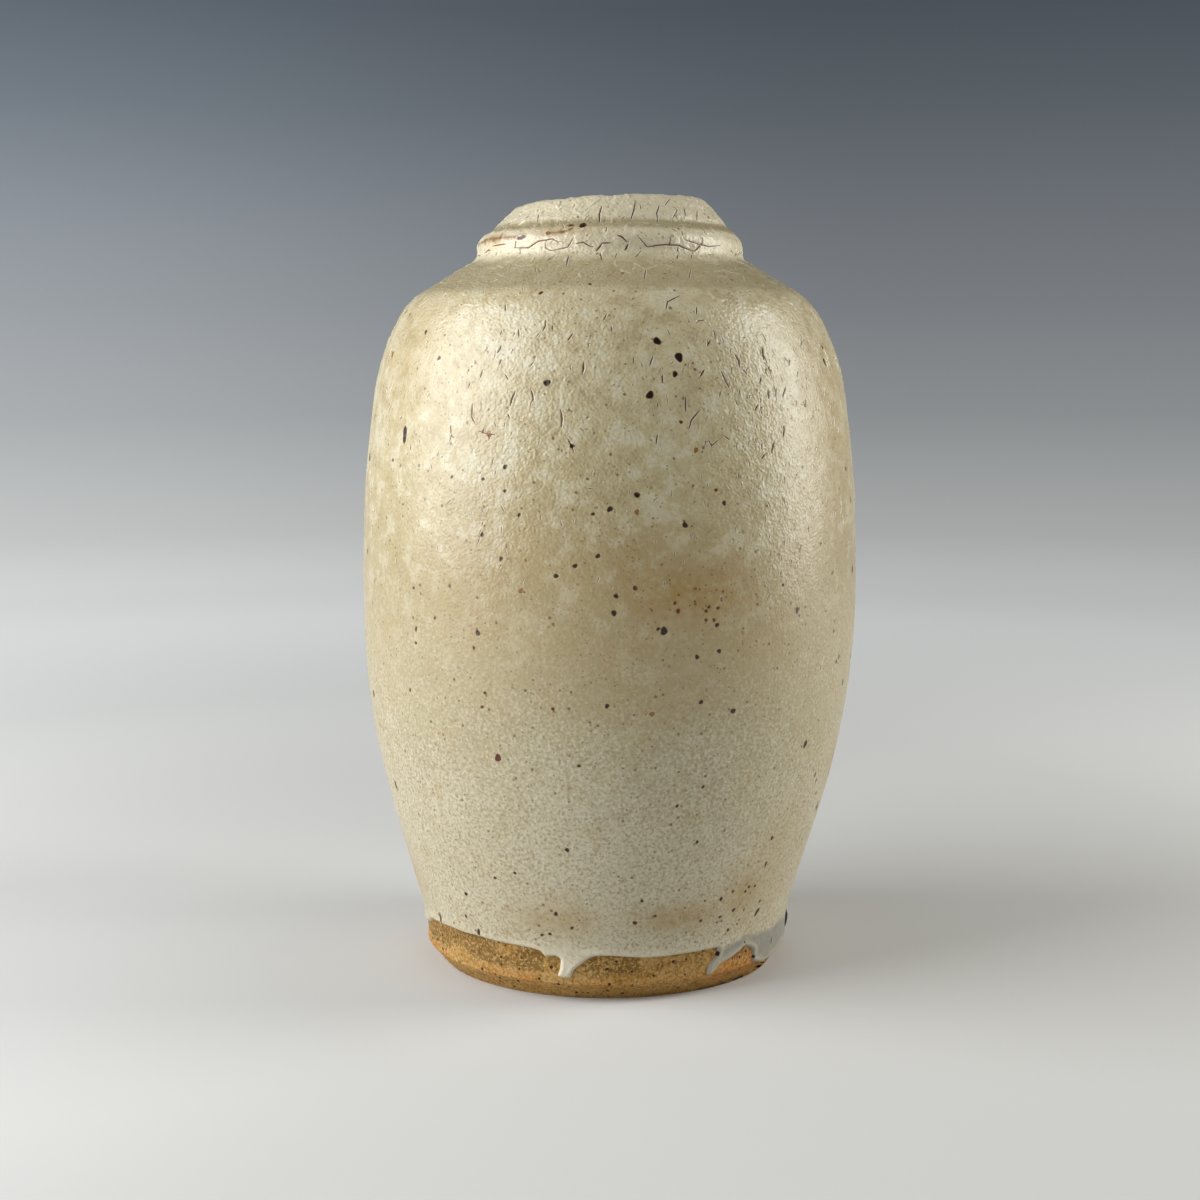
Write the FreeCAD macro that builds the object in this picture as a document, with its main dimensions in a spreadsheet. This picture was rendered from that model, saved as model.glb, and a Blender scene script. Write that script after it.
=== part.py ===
"""A shouldered stoneware jar: two thrown bowls luted together at the belly, a thrown collar luted to the
shoulder, a glaze coat outside and another inside, with the foot left bare.

Lengths are in millimetres and angles in degrees. The jar stands on z = 0, its axis is the Z axis, and its
front is towards -Y.
"""
import FreeCAD, Part

import math
import os

import Sketcher

# Driving dimensions of the clay. The wall is given at stations, from the foot up. A station has a rise above
# the station below, an angle (how far the wall leans in there from upright), and a width that its outer face
# stands out beyond a neighbour: the foot's stations follow the foot, and the belly's follow the seam. The
# collar is given from its throat outwards.
CLAY_SIZES = {
    "foot_contact_radius": 52.2,
    "foot_ring_width": 9.0,
    "foot_recess_depth": 2.0,
    "foot_bevel_width": 4.9,
    "foot_bevel_height": 5.6,
    "foot_band_flare": 0.2,
    "floor_thickness": 9.0,
    "floor_corner_width": 14.3,
    "wall_thickness": 6.0,
    "glaze_line_rise": 8.0,
    "heel_width": 0.7,
    "heel_rise": 4.4,
    "heel_angle": -16.5,
    "flare_inset": 8.1,
    "flare_rise": 32.0,
    "flare_angle": -15.5,
    "seam_radius": 75.6,
    "seam_rise": 41.5,
    "seam_angle": -6.4,
    "seam_thickness": 1.6,
    "seam_key_depth": 1.4,
    "belly_width": 1.0,
    "belly_rise": 18.9,
    "belly_angle": -0.5,
    "chest_inset": 0.9,
    "chest_rise": 38.0,
    "chest_angle": 4.0,
    "upper_inset": 3.2,
    "upper_rise": 28.0,
    "upper_angle": 8.6,
    "shoulder_inset": 8.4,
    "shoulder_rise": 24.6,
    "shoulder_angle": 31.5,
    "bend_inset": 7.1,
    "bend_rise": 6.7,
    "bend_angle": 60.0,
    "neck_foot_rise": 8.0,
    "neck_foot_angle": 59.0,
    "neck_rim_thickness": 4.5,
    "neck_wall": 7.3,
    "cove_width": 3.3,
    "cove_rise": 3.5,
    "flange_rise": 2.2,
    "ridge_width": 0.9,
    "cone_width": 9.8,
    "cone_angle": 45.0,
    "lip_width": 2.5,
    "roll_width": 1.8,
    "throat_radius": 25.3,
    "throat_length": 5.0,
}

# Driving dimensions of the glaze. A run's place round the foot is an angle from the front, towards +X.
GLAZE_SIZES = {
    "glaze_thickness": 0.8,
    "liner_thickness": 0.5,
    "run_thickness": 0.9,
    "drip_place_angle": -13.5,
    "drip_tip_height": 7.5,
    "drip_tip_width": 3.8,
    "drip_top_width": 10.6,
    "drip_top_offset": 2.7,
    "run_place_angle": 66.0,
    "run_foot_height": 6.0,
    "run_half_width": 34.0,
    "tongue_width": 5.0,
    "notch_width": 15.0,
    "notch_height": 11.0,
    "notch_peak_offset": 13.0,
    "bead_place_angle": 88.0,
    "bead_height": 9.6,
    "bead_length": 6.0,
    "bead_width": 3.6,
    "bead_sink": 0.4,
    "overrun": 4.0,
}

FULL_TURN_ANGLE = 360
RIGHT_ANGLE = 90
HALF_SHARE = 0.5

doc = FreeCAD.newDocument("shouldered_jar")
sheet = doc.addObject("Spreadsheet::Sheet", "sizes")
for row, (alias, value) in enumerate((CLAY_SIZES | GLAZE_SIZES).items(), start=1):
    sheet.set(f"A{row}", alias)
    sheet.set(f"B{row}", str(value))
    sheet.setAlias(f"B{row}", alias)
doc.recompute()


class Term:
    """A length or an angle: its value now, and the expression over the sheet that keeps it up to date."""

    def __init__(self, value, text):
        self.value = value
        self.text = text

    def __add__(self, other):
        return Term(self.value + other.value, f"{self.text} + {other.text}")

    def __sub__(self, other):
        return Term(self.value - other.value, f"{self.text} - ({other.text})")

    def __neg__(self):
        return Term(-self.value, f"-({self.text})")


ZERO = Term(0.0, "0")
UPRIGHT = ZERO
LEVEL = Term(float(RIGHT_ANGLE), str(RIGHT_ANGLE))
OVERTURNED = LEVEL + LEVEL


def size(alias):
    return Term(float(sheet.get(alias)), f"sizes.{alias}")


def part_of(term, share):
    return Term(term.value * share, f"({term.text}) * {share}")


def rise_over(width, angle):
    """How far a face rises while it goes in by that width, where it leans in by that angle."""
    rise = width.value / math.tan(math.radians(angle.value))
    return Term(rise, f"({width.text}) / tan(({angle.text}) * 1 deg)")


class Station:
    """A point of an outline: its radius and its height, or its place sideways and its height."""

    def __init__(self, radius, height):
        self.radius = radius
        self.height = height

    def moved(self, angle, depth, inward=False):
        """The station moved by a depth that is measured square to a wall of that angle."""
        turn = math.radians(angle.value)
        across = Term(depth.value * math.cos(turn), f"({depth.text}) * cos(({angle.text}) * 1 deg)")
        upward = Term(depth.value * math.sin(turn), f"({depth.text}) * sin(({angle.text}) * 1 deg)")
        if inward:
            return Station(self.radius - across, self.height - upward)
        return Station(self.radius + across, self.height + upward)

    def point(self):
        return FreeCAD.Vector(self.radius.value, self.height.value, 0)


# An outline is a list of (station, edge to the next station). An edge is None for a straight line, or
# (side, angle): an arc that turns by that angle to the left or to the right as the outline is followed.
def arc_between(start, end, edge):
    """The arc of an edge, and whether it runs from start to end as sketches count, anticlockwise."""
    side, angle = edge
    a, b = start.point(), end.point()
    if side == "right":
        a, b = b, a
    half = math.radians(angle.value) / 2
    chord = b - a
    radius = chord.Length / 2 / math.sin(half)
    square = FreeCAD.Vector(-chord.y, chord.x, 0).normalize()
    centre = (a + b) / 2 + square * (radius * math.cos(half))
    first = math.atan2(a.y - centre.y, a.x - centre.x)
    circle = Part.Circle(centre, FreeCAD.Vector(0, 0, 1), radius)
    return Part.ArcOfCircle(circle, first, first + 2 * half), side == "left"


# The sketcher's own numbers for an edge's two ends, and for its two axes. The origin is the H axis's start.
START, END = range(1, 3)
H_AXIS, V_AXIS = range(-1, -3, -1)


def draw(sketch, outline):
    """Draws a closed outline, joins its edges, and ties each station and each arc to the sheet."""
    ends = []
    for i, (here, edge) in enumerate(outline):
        there = outline[(i + 1) % len(outline)][0]
        if edge is None:
            sketch.addGeometry(Part.LineSegment(here.point(), there.point()), False)
            ends.append((START, END))
            continue
        arc, forward = arc_between(here, there, edge)
        sketch.addGeometry(arc, False)
        ends.append((START, END) if forward else (END, START))
    for i in range(len(outline)):
        after = (i + 1) % len(outline)
        sketch.addConstraint(Sketcher.Constraint("Coincident", i, ends[i][1], after, ends[after][0]))
    for i, (here, edge) in enumerate(outline):
        pin(sketch, i, ends[i][0], here)
        if edge is not None:
            n = sketch.addConstraint(Sketcher.Constraint("Angle", i, math.radians(edge[1].value)))
            sketch.setExpression(f"Constraints[{n}]", f"({edge[1].text}) * 1 deg")


def pin(sketch, geometry, end, here):
    """Fixes one end of an edge at a station. A station on an axis is held to that axis."""
    kinds = (("DistanceX", here.radius, V_AXIS), ("DistanceY", here.height, H_AXIS))
    for kind, term, axis in kinds:
        if term is ZERO:
            sketch.addConstraint(Sketcher.Constraint("PointOnObject", geometry, end, axis))
            continue
        n = sketch.addConstraint(Sketcher.Constraint(kind, H_AXIS, START, geometry, end, term.value))
        sketch.setExpression(f"Constraints[{n}]", term.text)


def new_body(label, outline):
    """A body with its outline drawn on its own upright plane, which faces the front."""
    body = doc.addObject("PartDesign::Body", label)
    sketch = body.newObject("Sketcher::SketchObject", f"{label}_outline")
    plane = next(f for f in body.Origin.OriginFeatures if f.Role == "XZ_Plane")
    sketch.AttachmentSupport = (plane, [""])
    sketch.MapMode = "FlatFace"
    draw(sketch, outline)
    sketch.Visibility = False
    doc.recompute()
    return body, sketch


def turned(label, outline):
    """A body turned about the jar's axis, from a closed outline of radius and height."""
    body, sketch = new_body(label, outline)
    revolution = body.newObject("PartDesign::Revolution", f"{label}_turned")
    revolution.Profile = sketch
    revolution.ReferenceAxis = (sketch, ["V_Axis"])
    revolution.Angle = FULL_TURN_ANGLE
    body.Tip = revolution
    doc.recompute()
    return body


def window(label, outline, place):
    """An outline of the front view pushed out from the axis past the foot, and turned to its place."""
    body, sketch = new_body(label, outline)
    pad = body.newObject("PartDesign::Pad", f"{label}_pad")
    pad.Profile = sketch
    pad.setExpression("Length", (radii["glaze_line"] + run + size("overrun")).text)
    body.Tip = pad
    body.setExpression("Placement.Rotation.Angle", place.text)
    body.Placement.Rotation.Axis = FreeCAD.Vector(0, 0, 1)
    doc.recompute()
    return body


def going_up(stations, edges):
    return list(zip(stations, edges + [None]))


def going_down(stations, edges):
    """The same path followed the other way, with each station's edge to the next one."""
    return list(zip(reversed(stations), [reverse(edge) for edge in reversed(edges)] + [None]))


def reverse(edge):
    if edge is None:
        return None
    side, angle = edge
    return ("right" if side == "left" else "left", angle)


def bow(first, last):
    """The convex wall between two stations, whose angles say how far it turns."""
    low, high = size(f"{first}_angle"), size(f"{last}_angle")
    return ("left", high - low if high.value >= low.value else low - high)


wall = size("wall_thickness")
glaze = size("glaze_thickness")
liner = size("liner_thickness")
run = size("run_thickness")

# The outer radii of the wall's stations, up from the foot and both ways from the seam.
foot_radius = size("foot_contact_radius") + size("foot_bevel_width")
radii = {"glaze_line": foot_radius + size("foot_band_flare")}
radii["heel"] = radii["glaze_line"] + size("heel_width")
radii["seam"] = size("seam_radius")
radii["flare"] = radii["seam"] - size("flare_inset")
radii["belly"] = radii["seam"] + size("belly_width")
radii["chest"] = radii["belly"] - size("chest_inset")
radii["upper"] = radii["chest"] - size("upper_inset")
radii["shoulder"] = radii["upper"] - size("shoulder_inset")
radii["bend"] = radii["shoulder"] - size("bend_inset")

# The heights of the wall's stations, each a rise above the one below it.
RISING_NAMES = ["glaze_line", "heel", "flare", "seam"]
UPPER_NAMES = ["belly", "chest", "upper", "shoulder", "bend"]
heights = {}
climbed = size("foot_bevel_height")
for name in RISING_NAMES:
    climbed = climbed + size(f"{name}_rise")
    heights[name] = climbed
climbed = climbed + size("seam_thickness")
heights["seam_top"] = climbed
for name in UPPER_NAMES + ["neck_foot"]:
    climbed = climbed + size(f"{name}_rise")
    heights[name] = climbed

# The collar, from the throat outwards: the roll of the lip, the lip, the cone, the ridge and the flange.
cone_top_radius = size("throat_radius") + size("roll_width") + size("lip_width")
ridge_radius = cone_top_radius + size("cone_width")
flange_radius = ridge_radius + size("ridge_width")
neck_foot = Station(flange_radius + size("cove_width"), heights["neck_foot"])
neck_opening_radius = flange_radius - size("neck_wall")

flange_foot_height = heights["neck_foot"] + size("cove_rise")
flange_top_height = flange_foot_height + size("flange_rise")
half_cone_angle = part_of(size("cone_angle"), HALF_SHARE)
lip_mean_angle = part_of(size("cone_angle") + LEVEL, HALF_SHARE)
ridge_height = flange_top_height + rise_over(size("ridge_width"), half_cone_angle)
cone_top_height = ridge_height + rise_over(size("cone_width"), size("cone_angle"))
lip_height = cone_top_height + rise_over(size("lip_width"), lip_mean_angle)
throat_top_height = lip_height - size("roll_width")
throat_foot_height = throat_top_height - size("throat_length")


def station(name):
    return Station(radii[name], heights[name])


def skin(name, depth, inward=False):
    """A wall station moved square to the wall."""
    return station(name).moved(size(f"{name}_angle"), depth, inward)


def seam_station(level, depth=ZERO):
    """The belly seam's faces are level at their edges, so its stations move sideways only."""
    return Station(radii["seam"] - depth, heights[level])


def seam_key(level):
    """The bottom of the groove round the middle of the belly seam's face."""
    radius = radii["seam"] - part_of(wall, HALF_SHARE)
    return Station(radius, heights[level] - size("seam_key_depth"))


def neck_key(height):
    """The bottom of the groove round the middle of the collar's seat."""
    return Station(part_of(neck_opening_radius + flange_radius, HALF_SHARE), height - size("seam_key_depth"))


# The thrown clay. A V-shaped groove keys each seam, and a ring of slip fills it.
LOWER_EDGES = [None, None, bow("flare", "seam")]
UPPER_EDGES = [bow("seam", "belly")] + [bow(a, b) for a, b in zip(UPPER_NAMES, UPPER_NAMES[1:])]
FLOOR_CORNER = ("right", LEVEL + size("heel_angle"))
floor_radius = skin("heel", wall, True).radius - size("floor_corner_width")


def lower_bowl():
    """The lower bowl with its floor, its recessed foot ring and the bevel round the foot."""
    recess_radius = size("foot_contact_radius") - size("foot_ring_width")
    foot = [
        Station(ZERO, size("foot_recess_depth")),
        Station(recess_radius, size("foot_recess_depth")),
        Station(recess_radius, ZERO),
        Station(size("foot_contact_radius"), ZERO),
        Station(foot_radius, size("foot_bevel_height")),
    ]
    outside = [station("glaze_line"), station("heel"), station("flare"), seam_station("seam")]
    inside = [skin("heel", wall, True), skin("flare", wall, True), seam_station("seam", wall)]
    outline = [(corner, None) for corner in foot]
    outline += going_up(outside, LOWER_EDGES)
    outline.append((seam_key("seam"), None))
    outline += going_down(inside, LOWER_EDGES[1:])
    outline[-1] = (outline[-1][0], FLOOR_CORNER)
    outline.append((Station(floor_radius, size("floor_thickness")), None))
    outline.append((Station(ZERO, size("floor_thickness")), None))
    return turned("lower_bowl", outline)


def belly_slip_seam():
    corners = [
        seam_station("seam"),
        seam_station("seam_top"),
        seam_key("seam_top"),
        seam_station("seam_top", wall),
        seam_station("seam", wall),
        seam_key("seam"),
    ]
    return turned("belly_slip_seam", [(corner, None) for corner in corners])


def upper_bowl():
    edges = UPPER_EDGES + [None]
    outside = [seam_station("seam_top")] + [station(name) for name in UPPER_NAMES] + [neck_foot]
    inside = [seam_station("seam_top", wall)]
    inside += [skin(name, wall, True) for name in UPPER_NAMES]
    inside.append(Station(neck_opening_radius, neck_foot.height - size("neck_rim_thickness")))
    outline = going_up(outside, edges)
    outline.append((neck_key(neck_foot.height), None))
    outline.append((Station(neck_opening_radius, neck_foot.height), None))
    outline += going_down(inside, edges)
    outline.append((seam_key("seam_top"), None))
    return turned("upper_bowl", outline)


NECK_COVE = ("right", size("neck_foot_angle"))
flange_foot = Station(flange_radius, flange_foot_height)


def neck_slip_seam():
    outline = [
        (neck_foot, NECK_COVE),
        (flange_foot, None),
        (neck_key(flange_foot_height), None),
        (Station(neck_opening_radius, flange_foot_height), None),
        (Station(neck_opening_radius, neck_foot.height), None),
        (neck_key(neck_foot.height), None),
    ]
    return turned("neck_slip_seam", outline)


# The collar: an upright flange, a cone that leans in, and a lip that rolls over into a short throat.
COLLAR_EDGES = [
    None,
    ("left", size("cone_angle")),
    None,
    ("left", LEVEL - size("cone_angle")),
    ("left", LEVEL),
    None,
]


def collar_face(depth=ZERO):
    """The collar's outer stations, from the flange's foot over the lip to the throat's foot."""
    lip_radius = size("throat_radius") + size("roll_width")
    places = [
        (flange_radius, flange_foot_height, UPRIGHT),
        (flange_radius, flange_top_height, UPRIGHT),
        (ridge_radius, ridge_height, size("cone_angle")),
        (cone_top_radius, cone_top_height, size("cone_angle")),
        (lip_radius, lip_height, LEVEL),
        (size("throat_radius"), throat_top_height, OVERTURNED),
        (size("throat_radius"), throat_foot_height, OVERTURNED),
    ]
    return [Station(radius, height).moved(angle, depth) for radius, height, angle in places]


def collar():
    outline = going_up(collar_face(), COLLAR_EDGES)
    outline.append((Station(neck_opening_radius, flange_foot_height), None))
    outline.append((neck_key(flange_foot_height), None))
    return turned("collar", outline)


# The glaze: one coat on the body, one on the collar that rolls into the throat, and a liner inside.
def body_glaze():
    edges = LOWER_EDGES + [None] + UPPER_EDGES + [None]
    inner = [station("glaze_line"), station("heel"), station("flare")]
    inner += [seam_station("seam"), seam_station("seam_top")]
    inner += [station(name) for name in UPPER_NAMES] + [neck_foot]
    outer = [Station(radii["glaze_line"] + glaze, heights["glaze_line"])]
    outer += [skin("heel", glaze), skin("flare", glaze)]
    outer += [seam_station(level, -glaze) for level in ("seam", "seam_top")]
    outer += [skin(name, glaze) for name in UPPER_NAMES]
    outer.append(neck_foot.moved(size("neck_foot_angle"), glaze))
    return turned("body_glaze", going_up(outer, edges) + going_down(inner, edges))


def collar_glaze():
    edges = [NECK_COVE] + COLLAR_EDGES
    outer = [neck_foot.moved(size("neck_foot_angle"), glaze)] + collar_face(glaze)
    inner = [neck_foot] + collar_face()
    return turned("collar_glaze", going_up(outer, edges) + going_down(inner, edges))


def inner_glaze():
    """The liner, from the throat's foot down to the middle of the floor."""
    neck_bottom = neck_foot.height - size("neck_rim_thickness")
    clay = [
        Station(size("throat_radius"), throat_foot_height),
        Station(neck_opening_radius, flange_foot_height),
        Station(neck_opening_radius, neck_bottom),
    ]
    coat = [
        Station(size("throat_radius") - liner, throat_foot_height),
        Station(neck_opening_radius - liner, flange_foot_height),
        Station(neck_opening_radius - liner, neck_bottom - liner),
    ]
    for name in reversed(UPPER_NAMES):
        clay.append(skin(name, wall, True))
        coat.append(skin(name, wall + liner, True))
    for level in ("seam_top", "seam"):
        clay.append(seam_station(level, wall))
        coat.append(seam_station(level, wall + liner))
    for name in ("flare", "heel"):
        clay.append(skin(name, wall, True))
        coat.append(skin(name, wall + liner, True))
    for radius in (floor_radius, ZERO):
        clay.append(Station(radius, size("floor_thickness")))
        coat.append(Station(radius, size("floor_thickness") + liner))
    edges = [None, None, None]
    edges += [reverse(edge) for edge in reversed(UPPER_EDGES)]
    edges += [None, reverse(LOWER_EDGES[-1]), None, FLOOR_CORNER, None]
    return turned("inner_glaze", going_up(coat, edges) + going_down(clay, edges))


# Glaze that ran below the glaze line, over the bare foot: a drip in front and a wide run to the right.
def foot_coat(label):
    """A thin coat on the foot's bare band, which the runs are cut from."""
    outline = [
        (Station(foot_radius, size("foot_bevel_height")), None),
        (Station(foot_radius + run, size("foot_bevel_height")), None),
        (Station(radii["glaze_line"] + run, heights["glaze_line"]), None),
        (station("glaze_line"), None),
    ]
    return turned(label, outline)


def patch(label, outline, place):
    """The part of the foot's thin coat that lies inside an outline of the front view."""
    common = doc.addObject("Part::Common", label)
    common.Base = foot_coat(f"{label}_coat")
    common.Tool = window(f"{label}_window", outline, place)
    doc.recompute()
    return common


def front_glaze_drip():
    """A drip that leans towards +X as it rises, with a narrow tip."""
    half_tip = part_of(size("drip_tip_width"), HALF_SHARE)
    half_top = part_of(size("drip_top_width"), HALF_SHARE)
    shift = size("drip_top_offset")
    outline = [
        (Station(-half_tip, size("drip_tip_height")), None),
        (Station(half_tip, size("drip_tip_height")), None),
        (Station(half_top + shift, heights["glaze_line"]), None),
        (Station(shift - half_top, heights["glaze_line"]), None),
    ]
    return patch("front_glaze_drip", outline, size("drip_place_angle"))


def side_glaze_run():
    """A narrow tongue, a bare notch that rises to a peak, and a wide run beyond it."""
    foot, top = size("run_foot_height"), heights["glaze_line"]
    left_end, right_end = -size("run_half_width"), size("run_half_width")
    notch_start = left_end + size("tongue_width")
    outline = [
        (Station(left_end, foot), None),
        (Station(notch_start, foot), None),
        (Station(notch_start + size("notch_peak_offset"), size("notch_height")), None),
        (Station(notch_start + size("notch_width"), foot), None),
        (Station(right_end, foot), None),
        (Station(right_end, top), None),
        (Station(left_end, top), None),
    ]
    return patch("side_glaze_run", outline, size("run_place_angle"))


def kiln_slag_bead(neighbours):
    """A dark bead of slag on the run: what stands proud of its neighbours from an upright round-ended lump."""
    half_length = part_of(size("bead_length"), HALF_SHARE)
    half_width = part_of(size("bead_width"), HALF_SHARE)
    shank = half_length - half_width
    outline = [
        (Station(ZERO, -half_length), ("left", LEVEL)),
        (Station(half_width, -shank), None),
        (Station(half_width, shank), ("left", LEVEL)),
        (Station(ZERO, half_length), None),
    ]
    bead = turned("slag_lump", outline)
    seat = f"({(radii['glaze_line'] + run - size('bead_sink')).text})"
    bead.setExpression("Placement.Base.x", f"{seat} * sin(sizes.bead_place_angle * 1 deg)")
    bead.setExpression("Placement.Base.y", f"-{seat} * cos(sizes.bead_place_angle * 1 deg)")
    bead.setExpression("Placement.Base.z", "sizes.bead_height")
    doc.recompute()
    for n, neighbour in enumerate(neighbours, start=1):
        cut = doc.addObject("Part::Cut", f"slag_cut_{n}")
        cut.Base = bead
        cut.Tool = neighbour
        bead = cut
    doc.recompute()
    bead.Label = "kiln_slag_bead"
    return bead


def build():
    clay = [lower_bowl(), belly_slip_seam(), upper_bowl(), neck_slip_seam(), collar()]
    coats = [body_glaze(), collar_glaze(), inner_glaze()]
    runs = [front_glaze_drip(), side_glaze_run()]
    bead = kiln_slag_bead([runs[1], coats[0], clay[0]])
    return clay + coats + runs + [bead]


def check(pieces):
    """Stops before anything is written if an object failed or a piece isn't a sound solid."""
    for item in doc.Objects:
        if {"Invalid", "Error"} & set(item.State):
            raise RuntimeError(f"{item.Label} failed: {item.State}")
    for piece in pieces:
        if piece.Shape.isNull() or not piece.Shape.isValid() or not piece.Shape.Solids:
            raise RuntimeError(f"{piece.Label} isn't a sound solid")


def export(pieces):
    os.makedirs("parts", exist_ok=True)
    for piece in pieces:
        piece.Shape.exportStep(f"parts/{piece.Label}.step")
        box = piece.Shape.BoundBox
        print(f"{piece.Label}: {len(piece.Shape.Solids)} solid, {piece.Shape.Volume:.0f} mm3, "
              f"z {box.ZMin:.2f} to {box.ZMax:.2f}, width {box.XLength:.2f}")


doc.recompute()
subparts = build()
doc.recompute()
check(subparts)
export(subparts)
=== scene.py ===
"""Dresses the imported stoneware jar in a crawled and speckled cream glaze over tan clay, on a pale sweep.

Lengths are in metres, and names that end in _mm hold millimetres. An angle round the jar runs from the front,
which is towards -Y, to the side of +X. A place along the path is how far it lies up the jar's outside.
"""

import itertools
import math
from collections import defaultdict

import bpy
import numpy as np
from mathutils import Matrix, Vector


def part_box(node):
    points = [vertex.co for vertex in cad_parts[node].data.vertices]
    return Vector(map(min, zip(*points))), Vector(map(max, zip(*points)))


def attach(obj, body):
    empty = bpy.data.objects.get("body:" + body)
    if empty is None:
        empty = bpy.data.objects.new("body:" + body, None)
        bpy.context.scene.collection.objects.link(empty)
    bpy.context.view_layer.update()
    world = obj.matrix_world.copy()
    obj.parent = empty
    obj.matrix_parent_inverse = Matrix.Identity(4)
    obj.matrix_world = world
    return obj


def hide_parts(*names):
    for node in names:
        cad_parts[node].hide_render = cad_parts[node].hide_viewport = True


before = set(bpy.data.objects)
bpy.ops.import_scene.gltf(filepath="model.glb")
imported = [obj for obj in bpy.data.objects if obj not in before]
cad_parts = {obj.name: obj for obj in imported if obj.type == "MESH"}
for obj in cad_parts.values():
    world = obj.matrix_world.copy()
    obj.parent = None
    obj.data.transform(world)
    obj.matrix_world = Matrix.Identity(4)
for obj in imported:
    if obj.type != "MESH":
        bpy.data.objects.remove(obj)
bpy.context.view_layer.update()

MM = 0.001
TINY = 1e-6

# The photograph's camera: its place, how far it looks down, and its focal length in the photograph's pixels.
PHOTO_SIDE = 1200
PHOTO_CENTRE = PHOTO_SIDE / 2
FOCAL_PIXELS = 1900
SENSOR_MM = 36
CAMERA_PLACE = Vector((-3.0, -600.0, 184.9)) * MM
CAMERA_DROP = math.radians(6.82)

# How far the jar is out of true: its foot leans to the left, up to a height, and its lip is tipped, from one
# height to another.
LEAN = -1.45 * MM
LEAN_TOP = 110 * MM
TIP = 1.25 * MM
TIP_FACES = math.radians(70)
TIP_FOOT = 225 * MM
TIP_TOP = 235 * MM

# The glaze coats: their thickness, and how deep in the clay their hidden insides lie, above and at the foot.
COAT = 0.8 * MM
SUNK = 0.35 * MM
EDGE_SUNK = 2.4 * MM
# Their cells: how many go round, how tall a row is, and into how many parts a fine cell's sides are cut.
BODY_COLUMNS = 420
BODY_ROW = 1.15 * MM
BODY_SPLIT = 4
COLLAR_COLUMNS = 420
COLLAR_ROW = 0.55 * MM
COLLAR_SPLIT = 2
HIDDEN_ROW = 18 * MM


def smoothstep(low, high, value):
    share = np.clip((value - low) / (high - low), 0, 1)
    return share * share * (3 - 2 * share)


def bell(value, width):
    return np.exp(-((value / width) ** 2))


def srgb(red, green, blue):
    """A colour as the shaders take it, from the 0 to 255 values that a picture editor shows."""
    shares = [value / 255 for value in (red, green, blue)]
    return tuple(s / 12.92 if s <= 0.04045 else ((s + 0.055) / 1.055) ** 2.4 for s in shares) + (1.0,)


NOISE_SIDE = 64


def noise(points, cell, seed):
    """Smooth random values from about -1 to 1, which change over the length of one cell."""
    grid = np.random.default_rng(seed).uniform(-1, 1, (NOISE_SIDE,) * 3)
    place = points / cell
    low = np.floor(place).astype(int)
    part = place - low
    part = part * part * (3 - 2 * part)
    total = np.zeros(len(points))
    for corner in itertools.product((0, 1), repeat=3):
        share = np.prod(np.where(corner, part, 1 - part), axis=1)
        x, y, z = ((low + corner) % NOISE_SIDE).T
        total += share * grid[x, y, z]
    return total


# The jar's outline, read from the parts of model.glb
def outline(node):
    """The closed outline of a turned node, as (radius, height) points in order, anticlockwise.

    A flat face that reaches the axis has no edge there, so its end is joined to the axis.
    """
    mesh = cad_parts[node].data
    links = defaultdict(set)
    for edge in mesh.edges:
        ends = [mesh.vertices[i].co for i in edge.vertices]
        if max(abs(end.y) for end in ends) < TINY and min(end.x for end in ends) > -TINY:
            a, b = ((round(end.x, 6), round(end.z, 6)) for end in ends)
            if a != b:
                links[a].add(b)
                links[b].add(a)
    loose = [place for place in links if len(links[place]) == 1]
    centres = [(0.0, z) for _, z in loose]
    for a, b in list(zip(loose, centres)) + list(zip(centres, centres[1:])):
        links[a].add(b)
        links[b].add(a)
    start = max(links)
    loop = [start]
    last, here = start, min(links[start])
    while here != start:
        loop.append(here)
        last, here = here, next(iter(links[here] - {last}))
    loop = np.array(loop)
    r, z = loop.T
    turned_left = np.sum(r * np.roll(z, -1) - z * np.roll(r, -1)) > 0
    return loop if turned_left else loop[::-1]


def corner(loop, outward, upward):
    """The number of an outline's farthest point in a direction."""
    return int(np.argmax(loop @ np.array((outward, upward))))


def stretch(node, start, end):
    """The part of a node's outline from one corner to another, each given as a direction."""
    loop = outline(node)
    first = corner(loop, *start)
    loop = np.roll(loop, -first, axis=0)
    return loop[:corner(loop, *end) + 1]


def soften(values, width):
    """Rounds the corners of a path's samples over some of their number, and keeps its ends."""
    reach = int(3 * width)
    weights = bell(np.arange(-reach, reach + 1), width)
    ends = np.pad(values, reach, mode="reflect", reflect_type="odd")
    return np.convolve(ends, weights / weights.sum(), mode="valid")


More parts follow.
